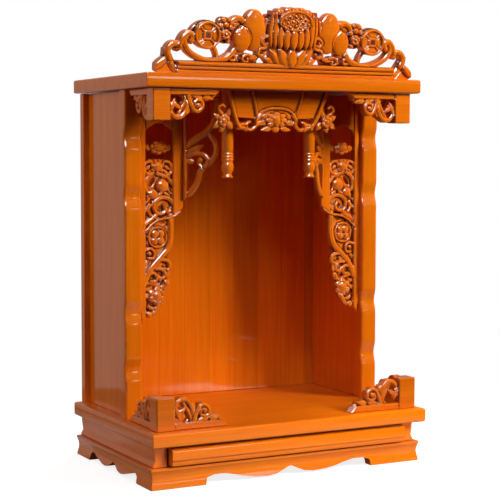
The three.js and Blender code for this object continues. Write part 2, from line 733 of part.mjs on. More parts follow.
// Each hanging bracket runs at a slant from the side strip's front inner corner to its pendant
function addHangingBrackets(stripInner) {
  for (const [name, side] of sides) {
    const dx = stripInner - pendant.spread;
    const stripFront = shrineFront + strip.setback;
    const slant = Math.atan2(stripFront - (roofFront + pendant.setback), dx);
    const arm = new THREE.Group();
    const armEnd = stripInner - seam * Math.cos(slant);
    arm.position.set(side * armEnd, stripFront - seam * Math.sin(slant), wallTop);
    arm.rotation.z = side * slant;
    place(arm, `hanging_bracket_${name}`, carvedHanging(-side), "carving", [0, 0, 0], [quarter, 0, 0]);
    root.add(arm);
  }
}

addPlinth();
addDrawerBay();
addDrawer();
addSlabs();
addShrine();
addCrest();
addBrackets("upper", upperBracket, roofSlab.width / 2, roofFront, roofBottom, -1);
addBrackets("lower", lowerBracket, floorSlab.width / 2, slabFront, slabTop, 1);
const stripInner = addStrips();
addValance();
addPendants();
addHangingBrackets(stripInner);

export default root;
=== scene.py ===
# %% [markdown]
# # A household altar cabinet in lacquered wood
# The real object is a small open-fronted shrine of orange lacquered wood. A joiner makes its slabs,
# posts and panels, a carver makes the crest, the corner brackets and the hanging strips, and everything
# is sprayed with a glossy lacquer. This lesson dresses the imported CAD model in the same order: boards
# with softened edges, carvings with real relief, and then the lacquer itself.
# Everything is in the frame of the CAD model: metres, with +X to the right of someone who faces the
# shrine, +Y to the back and +Z up.

import math

import bmesh
import bpy
import numpy as np
from mathutils import Matrix, Vector
from mathutils.geometry import tessellate_polygon


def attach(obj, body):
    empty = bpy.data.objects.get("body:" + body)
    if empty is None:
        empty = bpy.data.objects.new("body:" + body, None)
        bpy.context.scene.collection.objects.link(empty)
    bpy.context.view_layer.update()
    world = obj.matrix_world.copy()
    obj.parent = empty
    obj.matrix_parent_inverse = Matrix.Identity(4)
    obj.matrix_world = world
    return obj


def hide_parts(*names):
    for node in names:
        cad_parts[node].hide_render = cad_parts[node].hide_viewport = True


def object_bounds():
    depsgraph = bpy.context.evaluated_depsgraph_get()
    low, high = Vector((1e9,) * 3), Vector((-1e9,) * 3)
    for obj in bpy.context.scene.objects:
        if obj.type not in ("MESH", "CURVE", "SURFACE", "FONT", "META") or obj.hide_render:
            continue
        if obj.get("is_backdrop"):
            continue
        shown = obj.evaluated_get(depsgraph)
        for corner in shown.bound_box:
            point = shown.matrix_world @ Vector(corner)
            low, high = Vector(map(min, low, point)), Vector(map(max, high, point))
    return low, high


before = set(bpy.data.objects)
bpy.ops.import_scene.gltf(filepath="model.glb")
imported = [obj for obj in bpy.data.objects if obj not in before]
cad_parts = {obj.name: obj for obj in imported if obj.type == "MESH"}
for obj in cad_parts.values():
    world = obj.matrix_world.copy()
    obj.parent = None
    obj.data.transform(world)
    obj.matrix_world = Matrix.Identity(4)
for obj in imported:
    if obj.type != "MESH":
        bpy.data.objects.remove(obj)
cad_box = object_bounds()
MM = 0.001
print("nodes in the frame:", len(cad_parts))


def stand(name, data):
    """Puts mesh, lamp or camera data into the scene as an object."""
    made = bpy.data.objects.new(name, data)
    bpy.context.scene.collection.objects.link(made)
    return made


# %% [markdown]
# ## The camera
# The photograph was taken with a long lens from the front left, a little above the middle of the
# cabinet. Place, direction and lens were solved from the corners of the slabs and the plinth, so the
# slab edges fall on the same lines as in the photograph.

# %% Camera
CAMERA_PLACE = Vector((-1.0867, -2.0521, 0.4984))
YAW, PITCH, ROLL = (math.radians(angle) for angle in (27.98, 3.87, 0.12))
LENS, SENSOR = 103.08, 36

forward = Vector((math.sin(YAW) * math.cos(PITCH), math.cos(YAW) * math.cos(PITCH), -math.sin(PITCH)))
level_right = Vector((math.cos(YAW), -math.sin(YAW), 0))
level_up = level_right.cross(forward)
right = math.cos(ROLL) * level_right + math.sin(ROLL) * level_up
up = math.cos(ROLL) * level_up - math.sin(ROLL) * level_right

camera = stand("studio_camera", bpy.data.cameras.new("studio_camera"))
camera.data.lens, camera.data.sensor_width = LENS, SENSOR
turned = Matrix((right, up, -forward)).transposed().to_4x4()
camera.matrix_world = Matrix.Translation(CAMERA_PLACE) @ turned
bpy.context.scene.camera = camera
bpy.context.scene.view_settings.view_transform = "Standard"
print("camera distance from the slab's middle:", round(CAMERA_PLACE.length, 2), "m")

# %% [markdown]
# ## Node helper and colours
# A material in Blender is a small network. One function adds a node, sets its options and fills its
# sockets: a socket that is given as a value is linked, anything else is typed in. Colours are written
# as sRGB hex values, as read off a screen, and are turned to the linear values that shaders need.

# %% Helpers for materials
def add(tree, kind, sockets=None, **settings):
    """Adds one node with its settings, and fills or links its input sockets."""
    made = tree.nodes.new(kind)
    for name, value in settings.items():
        setattr(made, name, value)
    for name, value in (sockets or {}).items():
        if isinstance(value, bpy.types.NodeSocket):
            tree.links.new(value, made.inputs[name])
        else:
            made.inputs[name].default_value = value
    return made


def linear(hex_colour):
    """Turns an sRGB hex colour such as "#E8780A" into a linear colour with alpha."""
    parts = [int(hex_colour[i : i + 2], 16) / 255 for i in (1, 3, 5)]
    return tuple(c / 12.92 if c <= 0.04045 else ((c + 0.055) / 1.055) ** 2.4 for c in parts) + (1.0,)


# %% [markdown]
# ## Lacquered wood
# The wood is a pale hardwood with fine straight fibres. It is stained orange and sprayed with a clear
# polyurethane lacquer, which has an IOR of about 1.5 and a roughness of 0.05 to 0.1. That is a coat over
# a duller base: the fibres are seen through it, and the room is mirrored in it. Under the coat the wood
# itself mirrors next to nothing, because no air lies between the two. The fibres are 0.3 mm wide on the
# real wood, and are drawn 1.6 mm wide so that they show in a small picture. Broader bands, about 14 mm
# apart, are the growth rings where the board was sawn. A wave 9 mm long and far under a millimetre deep
# is the "orange peel" that a sprayed film dries with.
# Stain and lacquer gather in the recesses of a carving and darken them, and painted shade darkens the
# same recesses and the gaps further, for the shade that falls there. The carved meshes carry a value at
# each point, made when they are cut, which drives this darkening: partly stain, partly painted shade.

# %% Lacquered wood material
FIBRE_WIDTH, FIBRE_LENGTH = 1.6 * MM, 70 * MM
RING_WIDTH, RING_LENGTH = 14 * MM, 260 * MM
PEEL_WIDTH, PEEL_DEPTH, PEEL_STRENGTH = 9 * MM, 0.15 * MM, 0.25
PORE_DEPTH, PORE_STRENGTH = 0.1 * MM, 0.35
BASE_ROUGHNESS = (0.32, 0.5)
LACQUER_IOR, BASE_MIRROR = 1.5, 0.03
FIGURE = (0.6, 1.4)
STAVE_LIGHT, STAVE_JOINT, JOINT_FROM = (0.86, 1.12), 0.72, 0.485
AXES = {"X": 0, "Y": 1, "Z": 2}


def stretched(tree, place, along, width, length):
    """Coordinates in which a pattern of size 1 is width across the grain and length along it."""
    scale = [1 / width] * 3
    scale[AXES[along]] = 1 / length
    return add(tree, "ShaderNodeMapping", {"Vector": place, "Scale": scale}).outputs[0]


def lacquered_wood(name, pale, deep, along, gloss=0.07, strips=0.0, hollows=None):
    """Stained wood under clear lacquer, with its grain along X, Y or Z."""
    made = bpy.data.materials.new(name)
    made.use_nodes = True
    tree = made.node_tree
    tree.nodes.clear()
    place = add(tree, "ShaderNodeTexCoord").outputs["Object"]
    fibre_place = stretched(tree, place, along, FIBRE_WIDTH, FIBRE_LENGTH)
    fibres = add(
        tree, "ShaderNodeTexNoise", {"Vector": fibre_place, "Scale": 1.0, "Detail": 3.0}
    ).outputs["Fac"]
    ring_place = stretched(tree, place, along, RING_WIDTH, RING_LENGTH)
    rings = add(
        tree,
        "ShaderNodeTexNoise",
        {"Vector": ring_place, "Scale": 1.0, "Detail": 2.0, "Distortion": 0.6},
    ).outputs["Fac"]
    figure = add(tree, "ShaderNodeMath", {0: fibres, 1: rings}, operation="ADD").outputs[0]
    tone = add(
        tree, "ShaderNodeMapRange", {"Value": figure, "From Min": FIGURE[0], "From Max": FIGURE[1]}
    ).outputs[0]
    ends = {0: tone, 6: linear(deep), 7: linear(pale)}
    shade = add(tree, "ShaderNodeMix", ends, data_type="RGBA").outputs[2]
    if strips:
        shade = glued_strips(tree, place, shade, strips)
    # The carving's recesses are darkened: partly pooled stain, partly painted shade.
    if hollows:
        shade = paint_stain_and_shade(tree, shade, hollows)
    peel_place = stretched(tree, place, along, PEEL_WIDTH, PEEL_WIDTH)
    peel = add(
        tree, "ShaderNodeTexNoise", {"Vector": peel_place, "Scale": 1.0, "Detail": 1.0}
    ).outputs["Fac"]
    film = add(
        tree, "ShaderNodeBump", {"Height": peel, "Strength": PEEL_STRENGTH, "Distance": PEEL_DEPTH}
    ).outputs[0]
    pores = add(
        tree,
        "ShaderNodeBump",
        {"Height": fibres, "Strength": PORE_STRENGTH, "Distance": PORE_DEPTH, "Normal": film},
    ).outputs[0]
    rough = add(
        tree,
        "ShaderNodeMapRange",
        {"Value": fibres, "To Min": BASE_ROUGHNESS[0], "To Max": BASE_ROUGHNESS[1]},
    ).outputs[0]
    shader = add(
        tree,
        "ShaderNodeBsdfPrincipled",
        {
            "Base Color": shade,
            "Roughness": rough,
            "IOR": LACQUER_IOR,
            "Specular IOR Level": BASE_MIRROR,
            "Normal": pores,
            "Coat Weight": 1.0,
            "Coat Roughness": gloss,
            "Coat IOR": LACQUER_IOR,
            "Coat Normal": film,
        },
    )
    add(tree, "ShaderNodeOutputMaterial", {"Surface": shader.outputs[0]})
    return made


def glued_strips(tree, place, shade, width):
    """Darkens or lightens whole strips of a board that is glued up from narrow staves."""
    split = add(tree, "ShaderNodeSeparateXYZ", {0: place}).outputs["X"]
    count = add(tree, "ShaderNodeMath", {0: split, 1: 1 / width}, operation="MULTIPLY").outputs[0]
    which = add(tree, "ShaderNodeMath", {0: count}, operation="FLOOR").outputs[0]
    chance = add(
        tree, "ShaderNodeTexWhiteNoise", {"W": which}, noise_dimensions="1D"
    ).outputs["Value"]
    part = add(tree, "ShaderNodeMath", {0: count}, operation="FRACT").outputs[0]
    edge = add(tree, "ShaderNodeMath", {0: part, 1: 0.5}, operation="SUBTRACT").outputs[0]
    edge = add(tree, "ShaderNodeMath", {0: edge}, operation="ABSOLUTE").outputs[0]
    joint = add(
        tree,
        "ShaderNodeMapRange",
        {"Value": edge, "From Min": JOINT_FROM, "From Max": 0.5, "To Min": 1.0, "To Max": STAVE_JOINT},
    ).outputs[0]
    level = add(
        tree,
        "ShaderNodeMapRange",
        {"Value": chance, "To Min": STAVE_LIGHT[0], "To Max": STAVE_LIGHT[1]},
    ).outputs[0]
    level = add(tree, "ShaderNodeMath", {0: level, 1: joint}, operation="MULTIPLY").outputs[0]
    return add(tree, "ShaderNodeVectorMath", {0: shade, "Scale": level}, operation="SCALE").outputs[0]


def paint_stain_and_shade(tree, shade, dark):
    """Blends to the dark colour where the mesh marks a recess of the carving: pooled stain and painted
    shade.
    """
    hollow = add(tree, "ShaderNodeAttribute", attribute_name="hollow").outputs["Fac"]
    ends = {0: hollow, 6: shade, 7: linear(dark)}
    return add(tree, "ShaderNodeMix", ends, data_type="RGBA").outputs[2]


def wood_set(name, pale, deep, **more):
    """The same wood with its grain along each axis."""
    return {
        along: lacquered_wood(f"{name}_{along.lower()}", pale, deep, along, **more) for along in AXES
    }


board_wood = wood_set("lacquered_hardwood", "#EA7A0A", "#DA6204")
panel_wood = lacquered_wood("lacquered_glued_panel", "#EC7A0C", "#DA6204", "Z", strips=47 * MM)
# The dark colour of the carvings' recesses and gaps is partly pooled stain and partly painted shade.
carving_wood = wood_set(
    "carved_lacquered_hardwood", "#EE7C10", "#DA6206", gloss=0.08, hollows="#3C0A02"
)
print("materials made:", len(bpy.data.materials))

# %% [markdown]
# ## Boards with softened edges
# A joiner takes the sharp edge off every board before it is sprayed, and the lacquer rounds it a little
# more. Those thin rounded edges catch the light, and a board without them looks like paper. Each board
# could be built again from its sizes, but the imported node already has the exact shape, so its mesh is
# copied, its flat triangles are joined into whole faces, and the sharp edges are bevelled. The shading
# of the flat faces is kept flat by hand: a normal that leans by one degree moves what a glossy board
# mirrors by two, and the whole board would mirror the wrong part of the room.

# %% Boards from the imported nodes
SHARP, FLAT = math.radians(28), math.radians(0.4)
WELD = 0.02 * MM


def give(piece, material, slot, body, *nodes):
    """Gives a piece its material and its body, and hides the nodes that it stands for; slot is not used.
    """
    if material:
        piece.data.materials.clear()
        piece.data.materials.append(material)
    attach(piece, body)
    if nodes:
        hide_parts(*nodes)
    return piece


def corner_normal(face, point, rounded):
    """Shading normals that keep flat faces flat, with the rounding run from one into the next."""
    around = [f.normal for f in point.link_faces if f not in rounded]
    if not around:
        return point.normal.copy()
    nearest = face.normal if face not in rounded else max(around, key=face.normal.dot)
    alike = [normal for normal in around if normal.dot(nearest) > math.cos(SHARP)]
    return sum(alike, Vector()).normalized()


def soft_board(node, material, slot="lacquered_board", body="cabinet", round_mm=1.2, segments=2):
    """Copies a packed board and rounds its edges."""
    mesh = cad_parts[node].data.copy()
    mesh.name = f"soft_{node}"
    cut = bmesh.new()
    cut.from_mesh(mesh)
    bmesh.ops.remove_doubles(cut, verts=cut.verts, dist=WELD)
    bmesh.ops.dissolve_limit(cut, angle_limit=FLAT, verts=cut.verts, edges=cut.edges)
    edges = [e for e in cut.edges if len(e.link_faces) == 2 and e.calc_face_angle(0) > SHARP]
    made = bmesh.ops.bevel(
        cut,
        geom=edges,
        offset=round_mm * MM,
        segments=segments,
        profile=0.5,
        affect="EDGES",
        clamp_overlap=True,
    )
    rounded = set(made["faces"])
    for face in cut.faces:
        face.smooth = True
    cut.normal_update()
    normals = [corner_normal(face, corner.vert, rounded) for face in cut.faces for corner in face.loops]
    cut.to_mesh(mesh)
    cut.free()
    mesh.normals_split_custom_set(normals)
    return give(stand(f"soft_{node}", mesh), material, slot, body, node)


GRAINS = {
    "apron_front": "X", "apron_back": "X", "apron_left": "Y", "apron_right": "Y",
    "rail_left": "Y", "rail_right": "Y", "rail_back": "X", "floor_slab": "X", "roof_slab": "X",
    "side_panel_left": "Z", "side_panel_right": "Z",
}
for node, grain in GRAINS.items():
    board = soft_board(node, board_wood[grain])
    print(node, "faces:", len(board.data.polygons))
soft_board("back_board", panel_wood, slot="lacquered_inside")
soft_board("bottom_board", board_wood["X"], slot="lacquered_inside", round_mm=0.6)
soft_board("drawer_front", board_wood["X"], body="drawer", round_mm=3.2, segments=4)
soft_board("drawer_tray", board_wood["X"], slot="lacquered_inside", body="drawer", round_mm=0.6)

# %% [markdown]
# ## The posts
# The front edge of each post has four shallow scoops, made with a spindle moulder, and both front
# corners are rounded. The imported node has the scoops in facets. Here the same outline is drawn again as
# a stack of sections, 3 mm apart, which gives a smooth run up the whole front.

# %% Posts with scooped fronts
POST_WIDTH, POST_THICK, POST_OUTER = 29.0, 20.0, 229.0
POST_FRONT, POST_FOOT, POST_TOP = -29.5, 87.3, 594.2
POST_ROUND, POST_STEP = 3.5, 3.0
SCOOPS, SCOOP_DEPTH, SCOOP_LENGTH = (76, 165, 344, 436), 4.5, 42.0


def scooped(height):
    """How far the front lies back at a height above the slab."""
    near = min(abs(height - scoop) for scoop in SCOOPS) / SCOOP_LENGTH
    return SCOOP_DEPTH * math.cos(math.pi * near) ** 2 if near < 0.5 else 0.0


def post_section(front):
    """The post cut across at one height, from its back left corner round to its back right one."""
    arc = [math.radians(turn) for turn in range(0, 91, 15)]
    left = [
        (POST_ROUND - POST_ROUND * math.cos(turn), front + POST_ROUND - POST_ROUND * math.sin(turn))
        for turn in arc
    ]
    right = [(POST_WIDTH - x, y) for x, y in reversed(left)]
    return [(0, POST_THICK)] + left + right + [(POST_WIDTH, POST_THICK)]


for hand, side in (("left", -1), ("right", 1)):
    tall = POST_TOP - POST_FOOT
    levels = np.linspace(0, tall, int(tall / POST_STEP))
    rows = [[(x, y, z) for x, y in post_section(scooped(z))] for z in levels]
    start = -POST_OUTER if side < 0 else POST_OUTER - POST_WIDTH
    points = [
        ((start + x) * MM, (POST_FRONT + y) * MM, (POST_FOOT + z) * MM)
        for row in rows
        for x, y, z in row
    ]
    count = len(rows[0])
    faces = []
    for low in range(0, len(points) - count, count):
        for i in range(count):
            after = (i + 1) % count
            faces.append((low + i, low + after, low + count + after, low + count + i))
    faces += [tuple(reversed(range(count))), tuple(range(len(points) - count, len(points)))]
    mesh = bpy.data.meshes.new(f"scooped_post_{hand}")
    mesh.from_pydata(points, [], faces)
    mesh.shade_smooth()
    mesh.set_sharp_from_angle(angle=SHARP)
    post = stand(f"scooped_post_{hand}", mesh)
    give(post, board_wood["Z"], "lacquered_board", "cabinet", f"stile_{hand}")
    print(post.name, "sections:", len(rows))

# %% [markdown]
# ## How a carving is cut
# The carver draws scrolls, leaves, petals and fruits on a board, saws round them and cuts each to its
# own height. Sculpting that by hand in Blender would not come out the same twice, so it is worked out on
# a fine grid of points, as a carving machine would: every stroke knows how deep a point lies inside it,
# and from that its height there. The highest stroke wins, and a stroke cuts a fine groove into whatever
# lower one it crosses. Lengths in the drawings are millimetres, and a share is a part of the board's
# thickness.

# %% The strokes
CELL = 0.7
GROOVE_DEPTH, GROOVE_WIDTH = 1.8, 1.0
BAND_FALL, RIB_DEPTH, RIB_WIDTH, RIB_PLACE, RIB_LEAST = 0.8, 0.75, 0.55, 0.3, 2.6
LEAF = [0.3, 0.72, 0.96, 1.0, 0.9, 0.66, 0.36, 0.02]
LEAF_FALL, LEAF_ROUND, PLAIN_FALL = 0.34, 0.42, 0.8
VEIN_DEPTH, VEIN_WIDTH, SIDE_VEIN_DEPTH, SIDE_VEIN_STEP, SIDE_VEIN_SLANT = 0.9, 0.6, 0.28, 3.4, 1.1
DISC_FALL, DISC_ROUND = 1.2, 1.4
FAR = 1e9


def smooth_line(points, closed=False, steps=9):
    """Points on a smooth curve through the given ones."""
    p = np.array(points, float)
    if len(p) == 2:
        return p
    ends = (p[-1:], p[:2]) if closed else (2 * p[:1] - p[1:2], 2 * p[-1:] - p[-2:-1])
    p = np.vstack([ends[0], p, ends[1]])
    t = np.linspace(0, 1, steps, endpoint=False)[:, None]
    spans = []
    for a, b, c, d in zip(p, p[1:], p[2:], p[3:]):
        bent = (2 * a - 5 * b + 4 * c - d) * t**2 + (3 * b - a - 3 * c + d) * t**3
        spans.append(0.5 * (2 * b + (c - a) * t + bent))
    return np.vstack(spans if closed else spans + [p[-2:-1]])


def rounding(deep, radius):
    """0 at the edge of a stroke and 1 where it is radius deep, along a quarter circle."""
    u = 1 - np.clip(deep / radius, 0, 1)
    return np.sqrt(1 - u * u)


def strand(x, y, line, wide):
    """Depth inside a strand of varying width, share of its length, and distance to its side."""
    steps = np.maximum(np.hypot(*np.diff(line, axis=0).T), 1e-6)
    way = np.concatenate([[0], np.cumsum(steps)])
    deep, along, side = np.full(x.shape, -FAR), np.zeros(x.shape), np.zeros(x.shape)
    knots = np.linspace(0, 1, len(wide))
    for (ax, ay), (bx, by), length, start in zip(line, line[1:], steps, way):
        ux, uy = (bx - ax) / length, (by - ay) / length
        qx, qy = x - ax, y - ay
        t = np.clip(qx * ux + qy * uy, 0, length)
        share = (start + t) / way[-1]
        inside = np.interp(share, knots, wide) / 2 - np.hypot(qx - t * ux, qy - t * uy)
        better = inside > deep
        deep = np.where(better, inside, deep)
        along = np.where(better, share, along)
        side = np.where(better, ux * qy - uy * qx, side)
    return deep, along * way[-1], side


def outline_depth(x, y, points):
    """Depth inside a closed outline, negative outside it."""
    nearest = np.full(x.shape, FAR)
    crossed = np.zeros(x.shape, bool)
    for (ax, ay), (bx, by) in zip(points, np.roll(points, -1, axis=0)):
        dx, dy = bx - ax, by - ay
        t = np.clip(((x - ax) * dx + (y - ay) * dy) / max(dx * dx + dy * dy, 1e-9), 0, 1)
        nearest = np.minimum(nearest, np.hypot(x - ax - t * dx, y - ay - t * dy))
        if dy:
            crossed ^= ((ay > y) != (by > y)) & (x < dx * (y - ay) / dy + ax)
    return np.where(crossed, nearest, -nearest)


def band(points, wide, wide_end=None, ribs=True):
    """A scroll or a stem along a curve."""
    line = smooth_line(points)
    ends = [wide, wide_end or wide]

    def cut(x, y):
        deep, along, side = strand(x, y, line, ends)
        half = max(ends) / 2
        fall = BAND_FALL * half * (1 - rounding(deep, half))
        rib = 0.0
        if ribs and half > RIB_LEAST:
            beside = (side - RIB_PLACE * half) / RIB_WIDTH
            rib = RIB_DEPTH * np.exp(-(beside**2)) * np.clip(deep / 1.2, 0, 1)
        return deep, fall + rib

    return cut, line, max(ends) / 2


def leaf(x0, y0, x1, y1, wide, bend=0.0, form="veined"):
    """A pointed leaf from its base to its tip, with a mid vein and side veins, or a plain petal."""
    middle = ((x0 + x1) / 2 - bend * (y1 - y0), (y0 + y1) / 2 + bend * (x1 - x0))
    line = smooth_line([(x0, y0), middle, (x1, y1)])
    shape = [wide * w for w in LEAF]

    def cut(x, y):
        deep, along, side = strand(x, y, line, shape)
        fall = LEAF_FALL * wide * (1 - rounding(deep, LEAF_ROUND * wide))
        if form == "plain":
            return deep, PLAIN_FALL * fall
        vein = VEIN_DEPTH * np.exp(-((side / VEIN_WIDTH) ** 2))
        turn = 2 * math.pi * (along - SIDE_VEIN_SLANT * np.abs(side)) / SIDE_VEIN_STEP
        veins = SIDE_VEIN_DEPTH * (1 + np.cos(turn))
        return deep, fall + np.maximum(vein, veins) * np.clip(deep / 1.0, 0, 1)

    return cut, line, wide / 2


def oval(x0, y0, rx, ry=None, turn=0.0, form="dome"):
    """A fruit, a petal or a disc."""
    ry = ry or rx
    c, s = math.cos(math.radians(turn)), math.sin(math.radians(turn))
    small = min(rx, ry)

    def cut(x, y):
        u, v = c * (x - x0) + s * (y - y0), c * (y - y0) - s * (x - x0)
        deep = (1 - np.hypot(u / rx, v / ry)) * small
        if form == "flat":
            return deep, DISC_FALL * (1 - rounding(deep, DISC_ROUND))
        if form == "smooth":
            return deep, 0.32 * small * (1 - rounding(deep, 0.9 * small))
        return deep, 0.62 * small * (1 - rounding(deep, small))

    return cut, np.array([[x0, y0]]), max(rx, ry)


def rosette(x0, y0, radius, petals, stretch=1.0, turn=90.0):
    """A flower of round petals."""

    def cut(x, y):
        u, v = (x - x0) / stretch, y - y0
        angle = np.arctan2(v, u) - math.radians(turn)
        wave = np.abs(np.cos(angle * petals / 2))
        reach = radius * (0.72 + 0.28 * np.sqrt(wave))
        deep = reach - np.hypot(u, v)
        crease = 1.3 * np.exp(-((wave / 0.22) ** 2)) * np.clip(np.hypot(u, v) / radius, 0, 1)
        return deep, 0.3 * radius * (1 - rounding(deep, 0.55 * radius)) + crease

    return cut, np.array([[x0, y0]]), radius * max(1, stretch)


def area(points, closed_curve=False, soft=1.6):
    """A flat part of the board inside an outline."""
    line = smooth_line(points, closed=True) if closed_curve else np.array(points, float)

    def cut(x, y):
        deep = outline_depth(x, y, line)
        return deep, soft * (1 - rounding(deep, 1.2 * soft))

    return cut, line, 0.0


def rect(x0, y0, x1, y1, soft=1.6):
    """A flat part of the board between two corners."""
    return area([(x0, y0), (x1, y0), (x1, y1), (x0, y1)], soft=soft)


# %% [markdown]
# ## The board that is carved
# The board itself holds three grids: the height of the surface, the height just outside an edge, and
# how deep each point lies inside the outline. Laying a stroke changes them only around that stroke.

# %% Carving
EDGE_SHARE, GROOVE_SHARE = 0.35, 0.3
MARGIN_CELLS, RIM_CELLS, PAD = 2, 1.7, 3
SINK_RISE, SINK_ROUND, CUT_ROUND = 0.8, 1.2, 1.4
NOTHING, OUTSIDE = -1.0, -9.0


class Carving:
    """A board of a given size and thickness with what is drawn and cut on it."""

    def __init__(self, low, high, thick, cell=CELL):
        margin = MARGIN_CELLS * cell
        counts = [int(round((b - a) / cell)) + 2 * MARGIN_CELLS + 1 for a, b in zip(low, high)]
        self.axes = [np.linspace(a - margin, b + margin, n) for a, b, n in zip(low, high, counts)]
        self.low, self.high, self.thick, self.cell = low, high, thick, cell
        shape = (counts[1], counts[0])
        self.height, self.rim = np.full(shape, NOTHING), np.full(shape, NOTHING)
        self.deep = np.full(shape, OUTSIDE)

    def window(self, line, reach):
        """The part of the grid that a stroke can touch."""
        pad = reach + PAD
        spans = [
            slice(*np.searchsorted(axis, (line[:, k].min() - pad, line[:, k].max() + pad)))
            for k, axis in enumerate(self.axes)
        ]
        here = (spans[1], spans[0])
        x, y = np.meshgrid(self.axes[0][spans[0]], self.axes[1][spans[1]])
        return here, x, y

    def lay(self, share, stroke):
        """Leaves a stroke standing, share of the board's thickness high."""
        cut, line, reach = stroke
        here, x, y = self.window(line, reach)
        if not x.size:
            return self
        deep, fall = cut(x, y)
        top = share * self.thick
        height = np.maximum(top - fall, EDGE_SHARE * self.thick)
        old = self.height[here]
        groove = GROOVE_DEPTH * np.exp(-((np.minimum(deep, 0) / GROOVE_WIDTH) ** 2))
        grooved = np.maximum(old - groove, GROOVE_SHARE * self.thick)
        old = np.where((deep <= 0) & (old > 0) & (old < top), grooved, old)
        self.height[here] = np.where(deep > 0, np.maximum(old, height), old)
        near = (deep > -RIM_CELLS * self.cell) & (deep <= 0)
        self.rim[here] = np.where(near, np.maximum(self.rim[here], height), self.rim[here])
        self.deep[here] = np.maximum(self.deep[here], deep)
        return self

    def draw(self, strokes):
        """Lays a list of strokes, each with its share."""
        for share, stroke in strokes:
            self.lay(share, stroke)
        return self

    def sink(self, share, stroke):
        """Cuts the inside of a stroke down to a share of the thickness."""
        cut, line, reach = stroke
        here, x, y = self.window(line, reach)
        deep, _ = cut(x, y)
        old = self.height[here]
        floor = share * self.thick + SINK_RISE * (1 - rounding(deep, SINK_ROUND))
        self.height[here] = np.where(deep > 0, np.minimum(old, floor), old)
        return self

    def pierce(self, stroke):
        """Cuts right through."""
        cut, line, reach = stroke
        here, x, y = self.window(line, reach)
        deep, _ = cut(x, y)
        old = self.height[here]
        edge = CUT_ROUND * (1 - rounding(-deep, CUT_ROUND))
        self.height[here] = np.where(deep > -CUT_ROUND, np.maximum(old - edge, 1), old)
        self.deep[here] = np.minimum(self.deep[here], -deep)
        return self

    def mirror(self):
        """Makes the left half the mirror of the right one."""
        for grid in (self.height, self.rim, self.deep):
            np.maximum(grid, grid[:, ::-1].copy(), out=grid)
        return self


# %% [markdown]
# ## From the grid to a mesh
# A grid of squares would leave a stepped edge. So each square that the outline crosses is cut where the
# outline crosses its sides, as in the marching squares method. The sawn walls then run straight back
# from that edge, and the plain back is filled between the walls.

# %% Cut out a carving
# How far below its surroundings a point must lie to be darkened, partly stain and partly painted shade,
# and the fixed painted shade of the sawn walls.
STAIN_AND_SHADE_FROM, STAIN_AND_SHADE_FULL, STAIN_AND_SHADE_REACH, SAWN_STAIN_AND_SHADE = 0.2, 1.6, 4, 0.4
RIM_SHARE, LEAST_DEEP = 0.4, 0.08


def blurred(grid, reach):
    """Mean of the grid over a square of 2 reach + 1 cells."""
    for axis in (0, 1):
        pad = [(0, 0), (0, 0)]
        pad[axis] = (reach + 1, reach)
        total = np.cumsum(np.pad(grid, pad, mode="edge"), axis=axis)
        width, length = 2 * reach + 1, total.shape[axis]
        far = np.take(total, range(width, length), axis)
        near = np.take(total, range(length - width), axis)
        grid = (far - near) / width
    return grid


